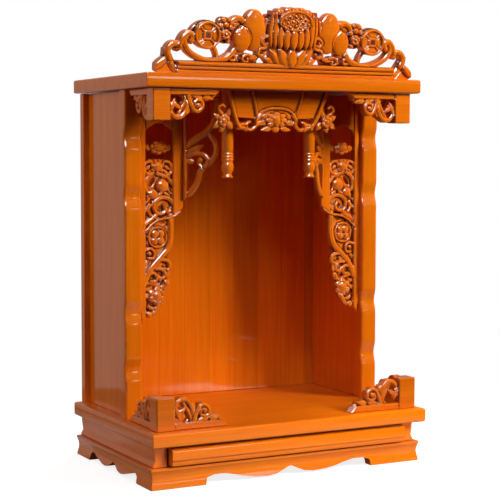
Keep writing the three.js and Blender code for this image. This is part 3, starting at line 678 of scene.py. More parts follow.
def cut_out(carving):
    """Points in the drawing's frame, faces, edges to keep sharp and the darkening of each point, stain
    and painted shade.
    """
    cell, thick = carving.cell, carving.thick
    x, y = np.meshgrid(*carving.axes)
    (x0, y0), (x1, y1) = carving.low, carving.high
    deep = np.minimum.reduce([carving.deep, x - x0, x1 - x, y - y0, y1 - y])
    least = LEAST_DEEP * cell
    deep = np.where(np.abs(deep) < least, np.where(deep < 0, -least, least), deep)
    rows, columns = deep.shape
    inside = deep > 0
    rim_height = np.maximum(carving.rim, RIM_SHARE * thick)
    height = np.where(carving.height > 0, carving.height, rim_height)
    # A point lower than its surroundings is darkened: pooled stain, and painted shade where shade falls.
    around = blurred(blurred(np.where(inside, height, EDGE_SHARE * thick), STAIN_AND_SHADE_REACH), STAIN_AND_SHADE_REACH)
    hollow = np.clip((around - height - STAIN_AND_SHADE_FROM) / STAIN_AND_SHADE_FULL, 0, 1)
    hollow = np.where(inside, hollow, SAWN_STAIN_AND_SHADE)
    grid = np.stack([x, y, height - thick, hollow], axis=-1)

    def crossings(a, b, fa, fb):
        t = np.where((fa > 0) != (fb > 0), fa / np.where(fa == fb, 1, fa - fb), 0)[..., None]
        return (a + (b - a) * t).reshape(-1, 4)

    across = crossings(grid[:, :-1], grid[:, 1:], deep[:, :-1], deep[:, 1:])
    upward = crossings(grid[:-1], grid[1:], deep[:-1], deep[1:])
    points = np.vstack([grid.reshape(-1, 4), across, upward])
    first_across, first_upward = rows * columns, rows * columns + rows * (columns - 1)

    code = inside[:-1, :-1] + 2 * inside[:-1, 1:] + 4 * inside[1:, 1:] + 8 * inside[1:, :-1]
    groups, rims = [], []
    for kind in range(1, 16):
        j, i = np.nonzero(code == kind)
        if not len(j):
            continue
        first = j * columns + i
        corners = [first, first + 1, first + columns + 1, first + columns]
        edges = [
            first_across + j * (columns - 1) + i,
            first_upward + j * columns + i + 1,
            first_across + (j + 1) * (columns - 1) + i,
            first_upward + j * columns + i,
        ]
        walk, marks = [], []
        for k in range(4):
            if kind >> k & 1:
                walk.append(corners[k])
                marks.append("corner")
            if (kind >> k & 1) != (kind >> (k + 1) % 4 & 1):
                walk.append(edges[k])
                marks.append("out" if kind >> k & 1 else "in")
        groups.append(np.stack(walk, axis=1))
        for k, mark in enumerate(marks):
            if mark == "out":
                rims.append(np.stack([walk[k], walk[(k + 1) % len(walk)]], axis=1))
    rim = np.vstack(rims)
    used = np.unique(np.concatenate([g.ravel() for g in groups]))
    place = np.zeros(len(points), int)
    place[used] = np.arange(len(used))
    front = points[used]
    faces = [face for g in groups for face in place[g].tolist()]
    rim = place[rim]

    edge_points = np.unique(rim)
    behind = np.full(len(front), -1)
    behind[edge_points] = len(front) + np.arange(len(edge_points))
    back = front[edge_points].copy()
    # The back points of the sawn walls get the same painted shade.
    back[:, 2], back[:, 3] = -thick, SAWN_STAIN_AND_SHADE
    a, b = rim[:, 0], rim[:, 1]
    faces += np.stack([b, a, behind[a], behind[b]], axis=1).tolist()

    follow = dict(zip(a.tolist(), b.tolist()))
    loops = []
    while follow:
        start, now = follow.popitem()
        loop = [start]
        while now != start:
            loop.append(now)
            now = follow.pop(now)
        loops.append(loop)
    order = [p for loop in loops for p in loop]
    flat = [[Vector((front[p][0], front[p][1], 0)) for p in loop] for loop in loops]
    for triangle in tessellate_polygon(flat):
        p, q, r = (order[k] for k in triangle)
        turn = np.cross(front[q][:2] - front[p][:2], front[r][:2] - front[p][:2])
        walk = (p, r, q) if turn > 0 else (p, q, r)
        faces.append([behind[k] for k in walk])
    outer = sum(1 for loop in loops if loop_area(front[loop]) > 0)
    sharp = np.vstack([rim, behind[rim]])
    return np.vstack([front, back]), faces, sharp, outer


def loop_area(points):
    """Area inside a loop, negative when it runs clockwise, as it does round a hole."""
    x, y = points[:, 0], points[:, 1]
    return 0.5 * float(np.sum(x * np.roll(y, -1) - y * np.roll(x, -1)))


PROBE = 40.0


def carved_piece(name, carving, placed, material, node):
    """Makes the mesh of a carving; placed turns drawing coordinates into row coordinates in mm."""
    points, faces, sharp, islands = cut_out(carving)
    row = placed(points[:, :3].copy())
    corner, *axes = placed(np.vstack([np.zeros(3), np.eye(3)]) + PROBE)
    if np.linalg.det(np.array(axes) - corner) < 0:
        faces = [face[::-1] for face in faces]
    mesh = bpy.data.meshes.new(name)
    mesh.from_pydata((row * MM).tolist(), [], faces)
    mesh.shade_smooth()
    # Each point carries its darkening, pooled stain and painted shade, for the material.
    hollow = mesh.attributes.new("hollow", "FLOAT", "POINT")
    hollow.data.foreach_set("value", points[:, 3].astype(np.float32))
    ends = np.zeros(len(mesh.edges) * 2, int)
    mesh.edges.foreach_get("vertices", ends)
    ends = np.sort(ends.reshape(-1, 2), axis=1)
    sharp = np.sort(sharp, axis=1)
    keys = ends[:, 0] * len(points) + ends[:, 1]
    is_sharp = np.isin(keys, sharp[:, 0] * len(points) + sharp[:, 1])
    marks = mesh.attributes.new("sharp_edge", "BOOLEAN", "EDGE")
    marks.data.foreach_set("value", is_sharp)
    give(stand(name, mesh), material, "lacquered_carving", "cabinet", node)
    print(name, "points:", len(points), "faces:", len(faces), "islands:", islands)


# %% [markdown]
# ## The crest
# The crest is one board, 448 mm long, that leans forward over the roof's front edge. A lotus with its
# seed pod stands proud in the middle, two smooth petals lie against each side of it, and scrolls run out
# to both ends round a coin with a square hole. One half is drawn, mirrored, and the lotus goes over the
# middle. The shares are parts of the 25 mm board; everything beside the lotus stays below 0.8.

# %% Crest
crest = Carving((-224, -3), (224, 104), 25)
COIN, COIN_RIM, COIN_FACE, COIN_FRAME, COIN_HOLE = (144, 56), 21, 17.5, 7.5, 3.6
COIN_RAYS = ((9, 9), (19, 19))
SEEDS = [(0, 91), (9, 89), (18, 86), (4.5, 83), (13.5, 81), (22, 79.5), (0, 76), (9, 74), (17.5, 73)]
SEED = 2.7
HALF_CREST = [
    (0.4, area([(224, 1), (219, 9), (213, 18), (211, 33), (206, 36), (200, 28), (192, 15), (184, 8),
        (184, -4), (212, -4)], True)),
    (0.6, leaf(226, 2, 203, 25, 11)),
    (0.56, leaf(205, 20, 211.5, 35, 7)),
    (0.5, band([(190, 2), (199, 12), (203, 22)], 12, 9, ribs=False)),
    (0.64, band([(202, 20), (206, 30), (201, 39.5), (192, 41.5), (186, 37)], 10, 9)),
    (0.5, band([(190, 34), (184, 40)], 9, ribs=False)),
    (0.68, band([(187, 40), (182.5, 51), (175, 57.5), (168, 54), (170, 47)], 9, 11)),
    (0.64, band([(176, 56), (180, 46), (174, 33), (160, 23.5), (140, 17.5), (120, 19), (105, 26),
        (95, 38)], 9, 10)),
    (0.4, band([(170, 50), (166, 63), (155, 72.5), (140, 74.5), (125, 69)], 8, 7, ribs=False)),
    (0.44, band([(132, 41), (126, 31), (123, 21)], 8, 6, ribs=False)),
    (0.4, band([(128, 67), (117, 70), (106, 73), (94, 76), (84, 79), (74, 80)], 13, 14, ribs=False)),
    (0.55, band([(106, 72), (101, 80), (92, 83), (84, 80)], 8, 10)),
    (0.5, oval(117, 77, 9, 7.5)),
    (0.48, oval(114, 63, 12.5, 19)),
    (0.7, rosette(113, 58, 8.5, 5)),
    (0.76, oval(113, 58, 2.8)),
    (0.62, oval(122, 71, 4)),
    (0.64, oval(113.5, 73, 4.4)),
    (0.6, oval(105, 69, 3.8)),
    (0.6, oval(118, 80, 4)),
    (0.58, oval(109.5, 80.5, 3.2)),
    (0.58, oval(123.5, 62, 3)),
    (0.56, oval(121, 51, 3.6)),
    (0.56, oval(108, 48, 3.6)),
    (0.7, oval(65, 66, 19.5, 32, -3, form="smooth")),
    (0.4, band([(51, 36), (47, 60), (43, 88)], 12, 8, ribs=False)),
    (0.6, band([(50, 46), (48.5, 68), (46, 84)], 5, 4)),
    (0.73, oval(86, 52, 15, 19, 0, form="smooth")),
    (0.7, leaf(86, 55, 86, 73, 13, form="plain")),
    (0.4, band([(62, 14), (59, 22), (55, 28), (46, 36)], 7, 8, ribs=False)),
    (0.4, band([(112, 22), (98, 18.5), (82, 17.5), (68, 19), (59, 25)], 8, 7, ribs=False)),
    (0.6, band([(109, 24), (103, 28.5), (95, 26), (96, 20), (102, 20)], 5, 4)),
    (0.62, band([(70, 28), (77, 29), (83, 24), (80, 18), (74, 18.5), (75, 23)], 5, 3.6)),
    (0.5, oval(90, 33, 10, 5)),
    (0.56, leaf(72, 24, 55, 26, 8)),
    (0.66, band([(38, 57), (46, 58), (53, 52), (49, 45), (42, 47)], 5.5, 4)),
    (0.6, band([(38, 46), (45, 41), (54, 38), (56, 30), (48, 28), (44, 33)], 6, 4.5)),
]


def square(middle, half, soft=1.6):
    """A square round a middle point."""
    return rect(middle[0] - half, middle[1] - half, middle[0] + half, middle[1] + half, soft)


def diagonals(middle, *reach):
    """Four lists of points, one on each diagonal, as far out as each pair of radii says."""
    for quarter in range(4):
        angle = math.radians(45 + 90 * quarter)
        yield [
            (middle[0] + rx * math.cos(angle), middle[1] + ry * math.sin(angle)) for rx, ry in reach
        ]


crest.draw(HALF_CREST)
crest.lay(0.73, oval(*COIN, COIN_RIM, form="flat")).sink(0.62, oval(*COIN, COIN_FACE, form="flat"))
crest.lay(0.68, square(COIN, COIN_FRAME, 0.8))
for ray in diagonals(COIN, *COIN_RAYS):
    crest.lay(0.68, band(ray, 3.4, 5, ribs=False))
crest.pierce(square(COIN, COIN_HOLE))
crest.mirror()
LOTUS = [
    (0.6, area([(-30, 16), (30, 16), (37, 34), (38.5, 60), (38.5, 92), (30, 97), (-30, 97), (-38.5, 92),
        (-38.5, 60), (-37, 34)])),
    (0.6, rect(-190, -3, 190, 16.5)),
    (0.66, rect(-190, 4, 190, 10, 2.4)),
    (0.72, rect(-190, 10, 190, 16.5, 3.0)),
]
LOTUS_HALF = [
    (0.62, leaf(20, 14, 47, 25, 12)),
    (0.7, leaf(14, 14, 38, 38, 15, form="plain")),
    (0.76, leaf(38, 44, 38.5, 98, 9, form="plain")),
    (0.82, leaf(31, 42, 32, 98, 10, form="plain")),
    (0.76, oval(24.5, 95, 6.5)),
    (0.82, oval(12.5, 97.5, 6.8)),
    (0.78, leaf(7, 13, 24, 43, 17, form="plain")),
    (0.88, leaf(22, 42, 23, 78, 12, form="plain")),
    (0.92, leaf(11.5, 41, 12, 77, 13, form="plain")),
]
LOTUS_HEART = [
    (0.84, oval(0, 97.4, 6.9)),
    (0.84, leaf(0, 13, 0, 44, 18, form="plain")),
    (0.95, leaf(0, 40, 0, 78, 14, form="plain")),
    (0.94, oval(0, 83, 28.5, 15, form="flat")),
    (0.98, band([(-27, 80), (-24, 90), (-12, 96.5), (0, 98), (12, 96.5), (24, 90), (27, 80)], 4,
        ribs=False)),
]
crest.draw(LOTUS).draw(LOTUS_HALF).mirror().draw(LOTUS_HEART)
for x, y in SEEDS:
    for side in (-1, 1):
        crest.lay(1.0, oval(side * x, y, SEED))

CREST_LEAN = math.radians(8.5)
ROOF_TOP, CREST_FRONT, SEAM = 616.0, -144.5, 0.3
CREST_SQUASH = 102 / 104


def on_the_roof(p):
    """Stands a drawing on the roof, leaning forward."""
    x, y, z = p.T
    y = y * CREST_SQUASH
    row_y = CREST_FRONT - y * math.sin(CREST_LEAN) - z * math.cos(CREST_LEAN)
    row_z = ROOF_TOP + y * math.cos(CREST_LEAN) - z * math.sin(CREST_LEAN)
    return np.stack([x, row_y, np.maximum(row_z, ROOF_TOP + SEAM)], axis=1)


carved_piece("carved_crest", crest, on_the_roof, carving_wood["X"], "crest")

# %% [markdown]
# ## Corner brackets
# Each corner of the roof and of the floor slab has a bracket of two short boards, mitred together at
# the corner. One drawing serves all eight boards: it is stretched to each board's length, turned upside
# down under the roof, and turned to the side for the side boards.

# %% Brackets
ROOF_BOTTOM, SLAB_TOP = 594.5, 87.0
BRACKET_LENGTH, BRACKET_HEIGHT, BRACKET_THICK, BRACKET_BLOCK = 113, 47.5, 18, 28.0
BRACKET_STROKES = [
    (0.9, area([(0, 0), (113, 0), (104, 9.5), (0, 9.5)])),
    (0.6, area([(50, 8), (104, 8), (96, 16), (86, 17), (84, 27), (76, 35), (68, 33), (62, 27), (56, 33),
        (49, 36), (46, 27), (52, 16)], True)),
    (0.82, band([(30, 28), (31.5, 36), (37, 42), (45, 43), (52, 38), (57, 28), (60, 18), (63, 8)], 6.5,
        8)),
    (0.74, band([(43, 40), (46, 33), (52, 24), (56, 14), (57, 8)], 5, 7)),
    (0.86, leaf(27, 27, 40, 19, 8)),
    (0.9, leaf(30, 33, 37, 14, 7)),
    (0.86, leaf(34, 22, 47, 31, 7)),
    (0.7, leaf(58, 38, 62, 20, 8)),
    (0.86, band([(59, 10), (63, 22), (68, 31), (75, 33.5), (82, 28), (82.5, 20), (76, 16.5), (70, 20),
        (71, 26)], 7, 4.5)),
    (0.96, oval(75.5, 25, 3.8)),
    (0.8, leaf(66, 10, 86, 15, 9)),
    (0.78, leaf(84, 9, 102, 16, 8)),
    (0.74, oval(90, 13, 6.5, 5)),
    (1.0, rect(0, 0, BRACKET_BLOCK, 47.5, 1.0)),
]


def bracket_wing(name, node, size, side, corner, facing, level, way_up):
    """One board of a corner bracket."""
    length, height = size
    wing = Carving((0, 0), (BRACKET_LENGTH, BRACKET_HEIGHT), BRACKET_THICK).draw(BRACKET_STROKES)

    def placed(p):
        """Stretches the drawing, cuts the mitre at the corner and turns the board to its side."""
        x, y, z = p[:, 0] * length / BRACKET_LENGTH, p[:, 1] * height / BRACKET_HEIGHT, p[:, 2]
        block = BRACKET_BLOCK * length / BRACKET_LENGTH
        squeezed = SEAM / 2 - z + x * (block + z) / block
        x = np.where(x < block, squeezed, x)
        row_z = level + way_up * (y + SEAM)
        if facing == "front":
            return np.stack([side * (corner[0] - x), corner[1] - z, row_z], axis=1)
        return np.stack([side * (corner[0] + z), corner[1] + x, row_z], axis=1)

    carved_piece(name, wing, placed, carving_wood["X" if facing == "front" else "Y"], node)


TIERS = {
    "upper": ({"front": 113, "side": 96}, 47.5, (226, -129.5), ROOF_BOTTOM, -1),
    "lower": ({"front": 120, "side": 108}, 49.5, (229, -146.5), SLAB_TOP, 1),
}
for tier, (lengths, height, corner, level, way_up) in TIERS.items():
    for hand, side in (("left", -1), ("right", 1)):
        for facing, length in lengths.items():
            name, node = f"carved_bracket_{tier}_{hand}_{facing}", f"{tier}_bracket_{hand}_{facing}"
            bracket_wing(name, node, (length, height), side, corner, facing, level, way_up)

# %% [markdown]
# ## The hanging strips
# A strip of fruit, flowers and vines hangs from the roof on the inside of each post. A thin ground lies
# behind most of it as a dark sheet, which painted shade turns almost black where there is only shadow
# behind the strip, and small gaps are sawn right through it. It is drawn with x from its inner edge
# outwards and y down from the roof: an arch, an eye-shaped flower that hangs free in it, an open
# blossom, two fruits, a curl, a medallion with four petals on the vine that crosses the strip, more
# curls and a flower at the tail.

# %% Strips
EYE, FRUIT, MEDALLION = (40.5, 88), (43, 117), (43, 227)
strip = Carving((0, 0), (73.7, 362), 12, 0.65)
STRIP_STROKES = [
    (0.8, area([(0, 0), (73.7, 0), (73.7, 66), (64, 66), (62.5, 60), (58.5, 56.5), (54, 55.5), (51, 52),
        (46, 49.8), (35, 49.8), (30, 52), (27, 55.5), (22.5, 56.5), (18.5, 60), (17, 66), (0, 66)])),
    (0.9, area([(64, 0), (73.7, 0), (73.7, 340), (70, 362), (64, 352)])),
    (0.9, area([(0, 0), (17, 0), (17, 198), (9, 191.5), (0, 181)])),
    # The low ground behind the strip: a dark sheet that painted shade turns almost black, where only
    # shadow lies.
    (0.32, area([(16, 112), (28, 107), (55, 107), (66, 112), (66, 340), (58, 346), (46, 338), (32, 324),
        (31, 312), (27, 300), (26, 268), (22, 250), (18, 230), (16, 200)])),
    (0.5, area([(20, 204), (24, 199), (44, 203), (66, 216), (67, 262), (66, 294), (54, 277), (40, 261),
        (27, 247), (19, 232)], True)),
    (0.62, leaf(34, 89, 16, 87, 11)),
    (0.62, leaf(47, 89, 65, 87, 11)),
    (0.84, rosette(*EYE, 10.5, 7, 1.5)),
    (1.0, oval(40.5, 87, 9.5, 5.8)),
    (0.66, leaf(40, 114, 31, 106, 8)),
    (0.66, leaf(44, 114, 45, 105, 8)),
    (0.66, leaf(47, 114, 56, 106, 8)),
    (0.76, band([(31, 131), (22, 128), (18, 119), (22, 111), (30, 109), (34, 114)], 6, 4.5)),
    (0.76, band([(54, 130), (62, 127), (66, 118), (62, 111), (54, 109), (51, 114)], 6, 4.5)),
    (0.7, leaf(33, 122, 19, 136, 8)),
    (0.7, leaf(37, 124, 31, 138, 7)),
    (0.7, leaf(51, 122, 64, 136, 8)),
    (0.7, leaf(30, 116, 21, 122, 6)),
    (0.7, leaf(55, 116, 64, 122, 6)),
    (0.84, rosette(*FRUIT, 12.5, 7)),
    (1.0, oval(*FRUIT, 8, 7.4)),
    (0.72, band([(15, 146), (22, 138), (33, 131), (44, 128)], 6.5, 5)),
    (0.66, leaf(15, 160, 30, 146, 9)),
    (0.62, leaf(16, 138, 28, 142, 7)),
    (0.95, oval(34, 147, 11)),
    (0.72, band([(50, 127), (59, 134), (63, 145), (60, 155), (52, 160)], 6)),
    (0.9, oval(50.5, 160, 8)),
    (0.66, leaf(54, 161, 66, 175, 8)),
    (0.66, leaf(30, 158, 18, 170, 8)),
    (0.7, band([(34, 152), (38, 160), (47, 168)], 6)),
    (0.78, band([(15, 176), (22, 168), (33, 165), (44, 169), (49, 178), (45, 188), (35, 190), (29, 184),
        (32, 177)], 6.5, 5)),
    (0.7, band([(17, 190), (25, 197), (38, 199), (51, 195), (58, 186), (57, 176)], 5.5, 4.5)),
    (0.66, leaf(50, 170, 66, 190, 8)),
    (0.66, leaf(26, 190, 15, 178, 8)),
    (0.66, leaf(52, 198, 66, 204, 8)),
    (0.7, band([(44, 192), (54, 200), (66, 208)], 6)),
    (0.9, band([(20.5, 195), (20, 214), (21, 232), (26, 246), (35, 256), (45, 266), (54, 276),
        (61, 288), (66, 300)], 10.5, 10)),
    (1.0, band([(6, 188), (19, 196), (36, 198.5), (50, 204), (62, 214), (66, 219)], 4, 3)),
    (0.66, leaf(30, 208, 22, 224, 6)),
    (0.66, leaf(50, 209, 62, 222, 7)),
    (0.8, oval(*MEDALLION, 16.5, 17.3, form="flat")),
    (0.85, band([(66, 247), (55, 244.5), (48.5, 250), (50, 259), (58, 260)], 5, 4.5)),
    (0.9, oval(57, 252, 3.2)),
    (0.66, leaf(58, 262, 66, 274, 6)),
    (0.8, band([(36, 262), (26, 264), (21.5, 271), (25, 278), (32, 277)], 6.5, 5)),
    (0.8, band([(46, 276), (36, 277), (30, 284), (33, 291), (40, 291)], 6.5, 5)),
    (0.8, band([(58, 284), (49, 283), (44, 289), (47, 296), (54, 296)], 6, 5)),
    (0.72, leaf(36, 268, 48, 280, 7)),
    (0.72, leaf(24, 280, 27, 294, 6)),
    (0.72, leaf(44, 284, 36, 298, 6)),
    (0.9, oval(28, 298, 4.6)),
    (0.66, band([(30, 303), (40, 306), (51, 300), (66, 297)], 6, 5)),
    (0.66, band([(32, 300), (36, 308), (40, 316)], 6)),
    (0.66, leaf(50, 312, 66, 306, 8)),
    (0.66, leaf(56, 316, 66, 322, 8)),
    (0.85, rosette(44.5, 319, 15, 6)),
    (1.0, oval(44, 318.5, 7.5)),
    (0.8, band([(38, 331), (44, 338), (54, 338), (62, 331)], 6, 5)),
    (0.8, band([(42, 333), (47, 343), (55, 349), (63, 345), (67, 334)], 6.5, 5)),
    (0.95, oval(57.5, 347.5, 5)),
]
STRIP_GAPS = [
    (51, 141, 3.2, 8, -32), (62, 166, 2, 5), (54, 172, 2.4, 3), (20.5, 153, 1.8, 5, 20),
    (37.5, 182, 3, 3.6), (62.5, 196, 2.4, 4), (34, 205, 4, 1.6, 8), (61.3, 236, 2.4, 7),
    (42, 299, 3.2, 1.8), (52, 306, 3.4, 2.6, 20), (61.5, 331, 2.6, 5), (27, 138, 1.8, 3.2, 40),
]
strip.draw(STRIP_STROKES).sink(0.66, oval(*MEDALLION, 13.6, 14.4, form="flat"))
for (petal,) in diagonals(MEDALLION, (7, 7.4)):
    strip.lay(0.98, oval(*petal, 6.6))
for gap in STRIP_GAPS:
    strip.pierce(oval(*gap))

STRIP_FRONT, STRIP_INNER = -21.5, 126.0
for hand, side in (("left", -1), ("right", 1)):

    def hung(p, side=side):
        """Hangs the strip beside the post, mirrored for the left hand."""
        x, y, z = p.T
        row = [side * (STRIP_INNER + x), STRIP_FRONT - z, ROOF_BOTTOM - SEAM - y]
        return np.stack(row, axis=1)

    name, node = f"carved_strip_fine_{hand}", f"carved_strip_{hand}"
    carved_piece(name, strip, hung, carving_wood["Z"], node)

# %% [markdown]
# ## The valance
# The carved board between the pendants hangs from the roof and tilts back at the bottom.

# %% Valance
valance = Carving((-109, -3), (109, 67), 12)
HALF_VALANCE = [
    (0.9, band([(88, -3), (82, 16), (75, 36), (69, 50), (63, 58)], 6.5, 6)),
    (0.78, band([(46, -3), (42, 14), (38, 28), (34, 42)], 5)),
    (0.84, band([(29, 39), (35, 46), (35, 55), (43, 62), (51, 60), (52, 53), (47, 50)], 6, 4.5)),
    (0.76, leaf(50, 55, 68, 57, 9)),
    (0.8, band([(52, 62), (58, 59), (66, 60)], 6, 5)),
    (0.7, leaf(18, 50, 36, 54, 10)),
    (0.84, leaf(8, 60, 27, 62.5, 8)),
    (0.7, oval(19, 40, 9, 5, 30)),
    (0.62, band([(78, 27), (84, 38), (90, 48)], 9)),
    (0.76, band([(88, 42), (97, 37), (102, 29), (97, 24), (92, 27)], 5.5, 4)),
    (0.72, leaf(94, 48, 109, 39, 10)),
    (0.72, leaf(94, 50, 109, 60, 11)),
    (0.72, leaf(90, 52, 95, 67, 10)),
    (0.66, leaf(86, 50, 74, 62, 11)),
    (0.92, rosette(91.5, 48.5, 10.5, 6)),
    (1.0, oval(91.5, 48.5, 4)),
]
VALANCE_HEART = [
    (0.5, area([(-88, -3), (88, -3), (73, 43), (40, 45), (30, 56), (-30, 56), (-40, 45), (-73, 43)])),
    (0.74, band([(-35, 47), (-30, 37), (-18, 30), (0, 28), (18, 30), (30, 37), (35, 47)], 4.5)),
    (0.62, oval(0, 52, 27, 14)),
    (0.86, rosette(0, 47, 13.5, 8, 1.5)),
    (1.0, oval(0, 47, 6.5, 8.5)),
    (0.8, oval(0, 61.5, 7, 5)),
]
valance.draw(HALF_VALANCE).mirror().draw(VALANCE_HEART)

VALANCE_LEAN, VALANCE_FRONT = math.radians(11), -106.5


def under_the_roof(p):
    """Hangs a drawing from the roof with its foot to the back."""
    x, y, z = p.T
    row_y = VALANCE_FRONT + y * math.sin(VALANCE_LEAN) - z * math.cos(VALANCE_LEAN)
    row_z = ROOF_BOTTOM - y * math.cos(VALANCE_LEAN) - z * math.sin(VALANCE_LEAN)
    return np.stack([x, row_y, np.minimum(row_z, ROOF_BOTTOM - SEAM)], axis=1)


carved_piece("carved_valance", valance, under_the_roof, carving_wood["X"], "valance")

# %% [markdown]
# ## Hanging brackets
# A thin pierced bracket runs from each strip to the pendant beside the valance.

# %% Hanging brackets
bracket = Carving((0, 0), (60, 170), 10)
HANGING_STROKES = [
    (0.8, band([(1.5, 163), (10, 158), (18.5, 147), (24, 136), (26.5, 125), (34, 116), (44, 109),
        (51, 99), (52.6, 90), (50, 78), (43, 68)], 10.5, 8.5)),
    (0.9, area([(0, 0), (5, 0), (5, 166), (0, 170)])),
    (0.7, band([(2, 92), (10, 81), (24, 71), (38, 62), (48, 50), (52, 36), (54, 20), (54, 0)], 12, 10)),
    (0.9, rect(0, 0, 60, 9)),
    (0.9, leaf(1, 98, 33, 83, 11)),
    (0.86, band([(3, 101), (18, 97), (32, 98), (40, 107), (34, 117)], 7)),
    (0.8, oval(8.5, 109, 9, 5)),
    (0.9, oval(27, 107, 4.5)),
    (0.7, band([(28, 106), (24, 112), (29, 118)], 5)),
]
bracket.draw(HANGING_STROKES)
PENDANT_X, PENDANT_Y = 73.2, -69.0
SLANT = math.atan2(STRIP_FRONT - PENDANT_Y, STRIP_INNER - PENDANT_X)
for hand, side in (("left", -1), ("right", 1)):

    def slanted(p, side=side):
        """Turns the drawing to the line from the strip to the pendant."""
        x, y, z = p.T
        z = z + bracket.thick / 2
        row_x = STRIP_INNER - SEAM - x * math.cos(SLANT) + z * math.sin(SLANT)
        row_y = STRIP_FRONT - SEAM - x * math.sin(SLANT) - z * math.cos(SLANT)
        return np.stack([side * row_x, row_y, ROOF_BOTTOM - SEAM - y], axis=1)

    name, node = f"carved_hanging_bracket_{hand}", f"hanging_bracket_{hand}"
    carved_piece(name, bracket, slanted, carving_wood["Z"], node)

# %% [markdown]
# ## Turned pendants
# The pendants were turned on a lathe, so a profile is spun round an axis: a plain shaft, three beads,
# a barrel and a small knob.

# %% Pendants
PENDANT_HEIGHT, SPOKES, SHARP_TURN = 135.0, 40, math.radians(50)
PENDANT_PROFILE = [
    (0, 0), (5, 0), (8.2, 0.6), (9.2, 2), (9.0, 3.4), (7.0, 5.4), (6.4, 7), (7.4, 9), (9.0, 12),
    (9.7, 15), (9.7, 19.5), (9.2, 22.4), (8.3, 24.6), (8.3, 26.2),
]
BEAD, BEAD_STEP = [(8.3, 26.3), (9.3, 27.2), (9.7, 28.6), (9.3, 30.0), (8.3, 30.8)], 4.6
for bead in range(3):
    PENDANT_PROFILE += [(r, z + BEAD_STEP * bead) for r, z in BEAD]
PENDANT_PROFILE += [(8.6, 41), (9.2, 42), (9.2, PENDANT_HEIGHT), (0, PENDANT_HEIGHT)]
for hand, side in (("left", -1), ("right", 1)):
    mesh = bpy.data.meshes.new(f"turned_pendant_{hand}")
    spun = bmesh.new()
    base = ROOF_BOTTOM - SEAM - PENDANT_HEIGHT
    line = [
        spun.verts.new(((side * PENDANT_X + r) * MM, PENDANT_Y * MM, (base + z) * MM))
        for r, z in PENDANT_PROFILE
    ]
    edges = [spun.edges.new(pair) for pair in zip(line, line[1:])]
    axis = Vector((side * PENDANT_X * MM, PENDANT_Y * MM, 0))
    bmesh.ops.spin(
        spun,
        geom=line + edges,
        cent=axis,
        axis=(0, 0, 1),
        angle=2 * math.pi,
        steps=SPOKES,
        use_merge=True,
    )
    bmesh.ops.remove_doubles(spun, verts=spun.verts, dist=WELD / 2)
    bmesh.ops.recalc_face_normals(spun, faces=spun.faces)
    for face in spun.faces:
        face.smooth = True
    spun.to_mesh(mesh)
    spun.free()
    mesh.set_sharp_from_angle(angle=SHARP_TURN)
    pendant = stand(f"turned_pendant_{hand}", mesh)
    give(pendant, board_wood["Z"], "lacquered_board", "cabinet", f"pendant_{hand}")
    print(pendant.name, "faces:", len(mesh.polygons))

# %% [markdown]
# ## Floor and light
# The photograph is a studio picture on white. A large soft lamp stands high at the front right and
# gives most of the light: it draws the shadow of the roof across the back. Weaker lamps light the roof
# from above, the left side, the shadows in the shrine and the front of the plinth, which in the
# photograph gets the light that a white table throws back. Flat glossy faces in the photograph mirror
# none of the lamps, but every rounded edge of the carvings has a pale glint. So the lacquer mirrors one
# broad lamp alone, which stands at the front left above the cabinet and gives no other light.
# The left side mirrors a pale wall behind it on the left, and the floor slab a distant window by way of
# the shrine's back. The camera sees the room and the floor as white, whatever they give as light.
# The floor is pale near the cabinet and fades outwards, so the boards don't mirror its edge.

# %% Floor, lamps and room
GLINT = "glint_softbox"


def lamp(name, place, aim, size, watts):
    """A square soft lamp that points at a place; sizes in metres."""
    light = bpy.data.lights.new(name, "AREA")
    light.size, light.energy = size, watts
    holder = stand(name, light)
    holder.location = place
    holder.rotation_mode = "QUATERNION"
    holder.rotation_quaternion = (Vector(aim) - Vector(place)).to_track_quat("-Z", "Y")
    holder.visible_glossy = name == GLINT
    holder.visible_diffuse = name != GLINT
    return holder


LAMPS = [
    ("key_softbox", (1.72, -1.96, 1.6), (0, 0, 0.35), 1.0, 94),
    ("plinth_softbox", (0.35, -1.1, 0.11), (0, -0.16, 0.05), 0.5, 7.5),
    ("side_softbox", (-2.4, 0.2, 1.0), (-0.2, 0, 0.35), 0.9, 10),
    ("top_softbox", (0.6, 0.35, 2.3), (0, 0, 0.5), 0.9, 54),
    ("fill_softbox", (0.1, -2.1, 1.75), (0, 0, 0.4), 0.6, 8),
    (GLINT, (-0.6, -1.5, 1.9), (0, 0, 0.4), 1.1, 180),
]
lamps = {row[0]: lamp(*row) for row in LAMPS}
plinth = bpy.data.collections.new("lit_by_plinth_softbox")
for name in ("apron_front", "rail_left", "rail_right", "drawer_front", "floor_slab"):
    plinth.objects.link(bpy.data.objects[f"soft_{name}"])
lamps["plinth_softbox"].light_linking.receiver_collection = plinth
print("lamps:", ", ".join(lamps))


def glow(tree, towards, direction, start, end, strength):
    """Light from around one direction that fades from end to start, both cosines of the angle."""
    near = add(
        tree, "ShaderNodeVectorMath", {0: towards, 1: direction}, operation="DOT_PRODUCT"
    ).outputs["Value"]
    return add(
        tree,
        "ShaderNodeMapRange",
        {"Value": near, "From Min": start, "From Max": end, "To Max": strength},
    ).outputs[0]


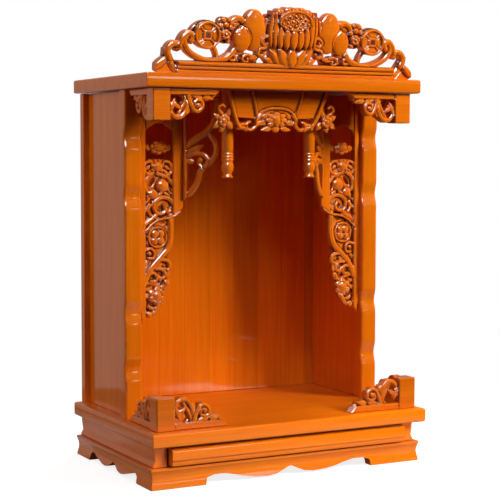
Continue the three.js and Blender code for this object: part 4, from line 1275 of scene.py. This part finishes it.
room = bpy.data.worlds.new("studio_room")
room.use_nodes = True
tree = room.node_tree
tree.nodes.clear()
towards = add(tree, "ShaderNodeTexCoord").outputs["Generated"]
wall = glow(tree, towards, (-0.6, 0.8, 0.1), -0.2, 0.6, 0.36)
window = glow(tree, towards, (0.424, -0.889, 0.17), 0.9968, 0.9986, 5.0)
level = add(tree, "ShaderNodeMath", {0: wall, 1: window}, operation="ADD").outputs[0]
seen = add(tree, "ShaderNodeLightPath").outputs["Is Camera Ray"]
dim = add(tree, "ShaderNodeBackground", {"Color": (1, 1, 1, 1), "Strength": level})
bright = add(tree, "ShaderNodeBackground", {"Color": (1, 1, 1, 1), "Strength": 1.0})
both = add(tree, "ShaderNodeMixShader", {0: seen, 1: dim.outputs[0], 2: bright.outputs[0]})
add(tree, "ShaderNodeOutputWorld", {"Surface": both.outputs[0]})
bpy.context.scene.world = room

FLOOR_RADIUS, FLOOR_SIDES = 0.9, 64
FADE_FROM, FADE_TO, PALE = 0.3, 0.75, 0.36
WHITE = (0.82, 1.0)
floor_mesh = bpy.data.meshes.new("studio_floor")
turns = [2 * math.pi * k / FLOOR_SIDES for k in range(FLOOR_SIDES)]
ring = [(FLOOR_RADIUS * math.cos(turn), FLOOR_RADIUS * math.sin(turn), 0) for turn in turns]
floor_mesh.from_pydata(ring, [], [range(FLOOR_SIDES)])
studio_floor = stand("studio_floor", floor_mesh)
studio_floor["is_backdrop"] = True
studio_floor.visible_diffuse = False
paper = bpy.data.materials.new("white_matt_paper")
paper.use_nodes = True
tree = paper.node_tree
tree.nodes.clear()
seen = add(tree, "ShaderNodeLightPath").outputs["Is Camera Ray"]
place = add(tree, "ShaderNodeTexCoord").outputs["Object"]
away = add(tree, "ShaderNodeVectorMath", {0: place}, operation="LENGTH").outputs["Value"]
edge = add(
    tree, "ShaderNodeMapRange", {"Value": away, "From Min": FADE_FROM, "From Max": FADE_TO}
).outputs[0]
shade = add(tree, "ShaderNodeMapRange", {"Value": edge, "To Min": PALE, "To Max": 0.0}).outputs[0]
white = add(
    tree, "ShaderNodeMapRange", {"Value": edge, "To Min": WHITE[0], "To Max": WHITE[1]}
).outputs[0]
shine = add(tree, "ShaderNodeMath", {0: seen, 1: white}, operation="MULTIPLY").outputs[0]
shader = add(
    tree,
    "ShaderNodeBsdfPrincipled",
    {
        "Base Color": shade,
        "Roughness": 0.9,
        "Emission Color": (1, 1, 1, 1),
        "Emission Strength": shine,
    },
)
add(tree, "ShaderNodeOutputMaterial", {"Surface": shader.outputs[0]})
floor_mesh.materials.append(paper)

# %% [markdown]
# ## Size of both models
# Both boxes, of the CAD model and of the dressed model, are printed. The dressed model has to
# stay inside the box of the CAD model.

# %% Sizes and finish
look_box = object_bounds()
boxes = {"cad": [list(corner) for corner in cad_box], "visual": [list(corner) for corner in look_box]}
for name, box in boxes.items():
    print(name, "box in metres:", [[round(length, 4) for length in corner] for corner in box])
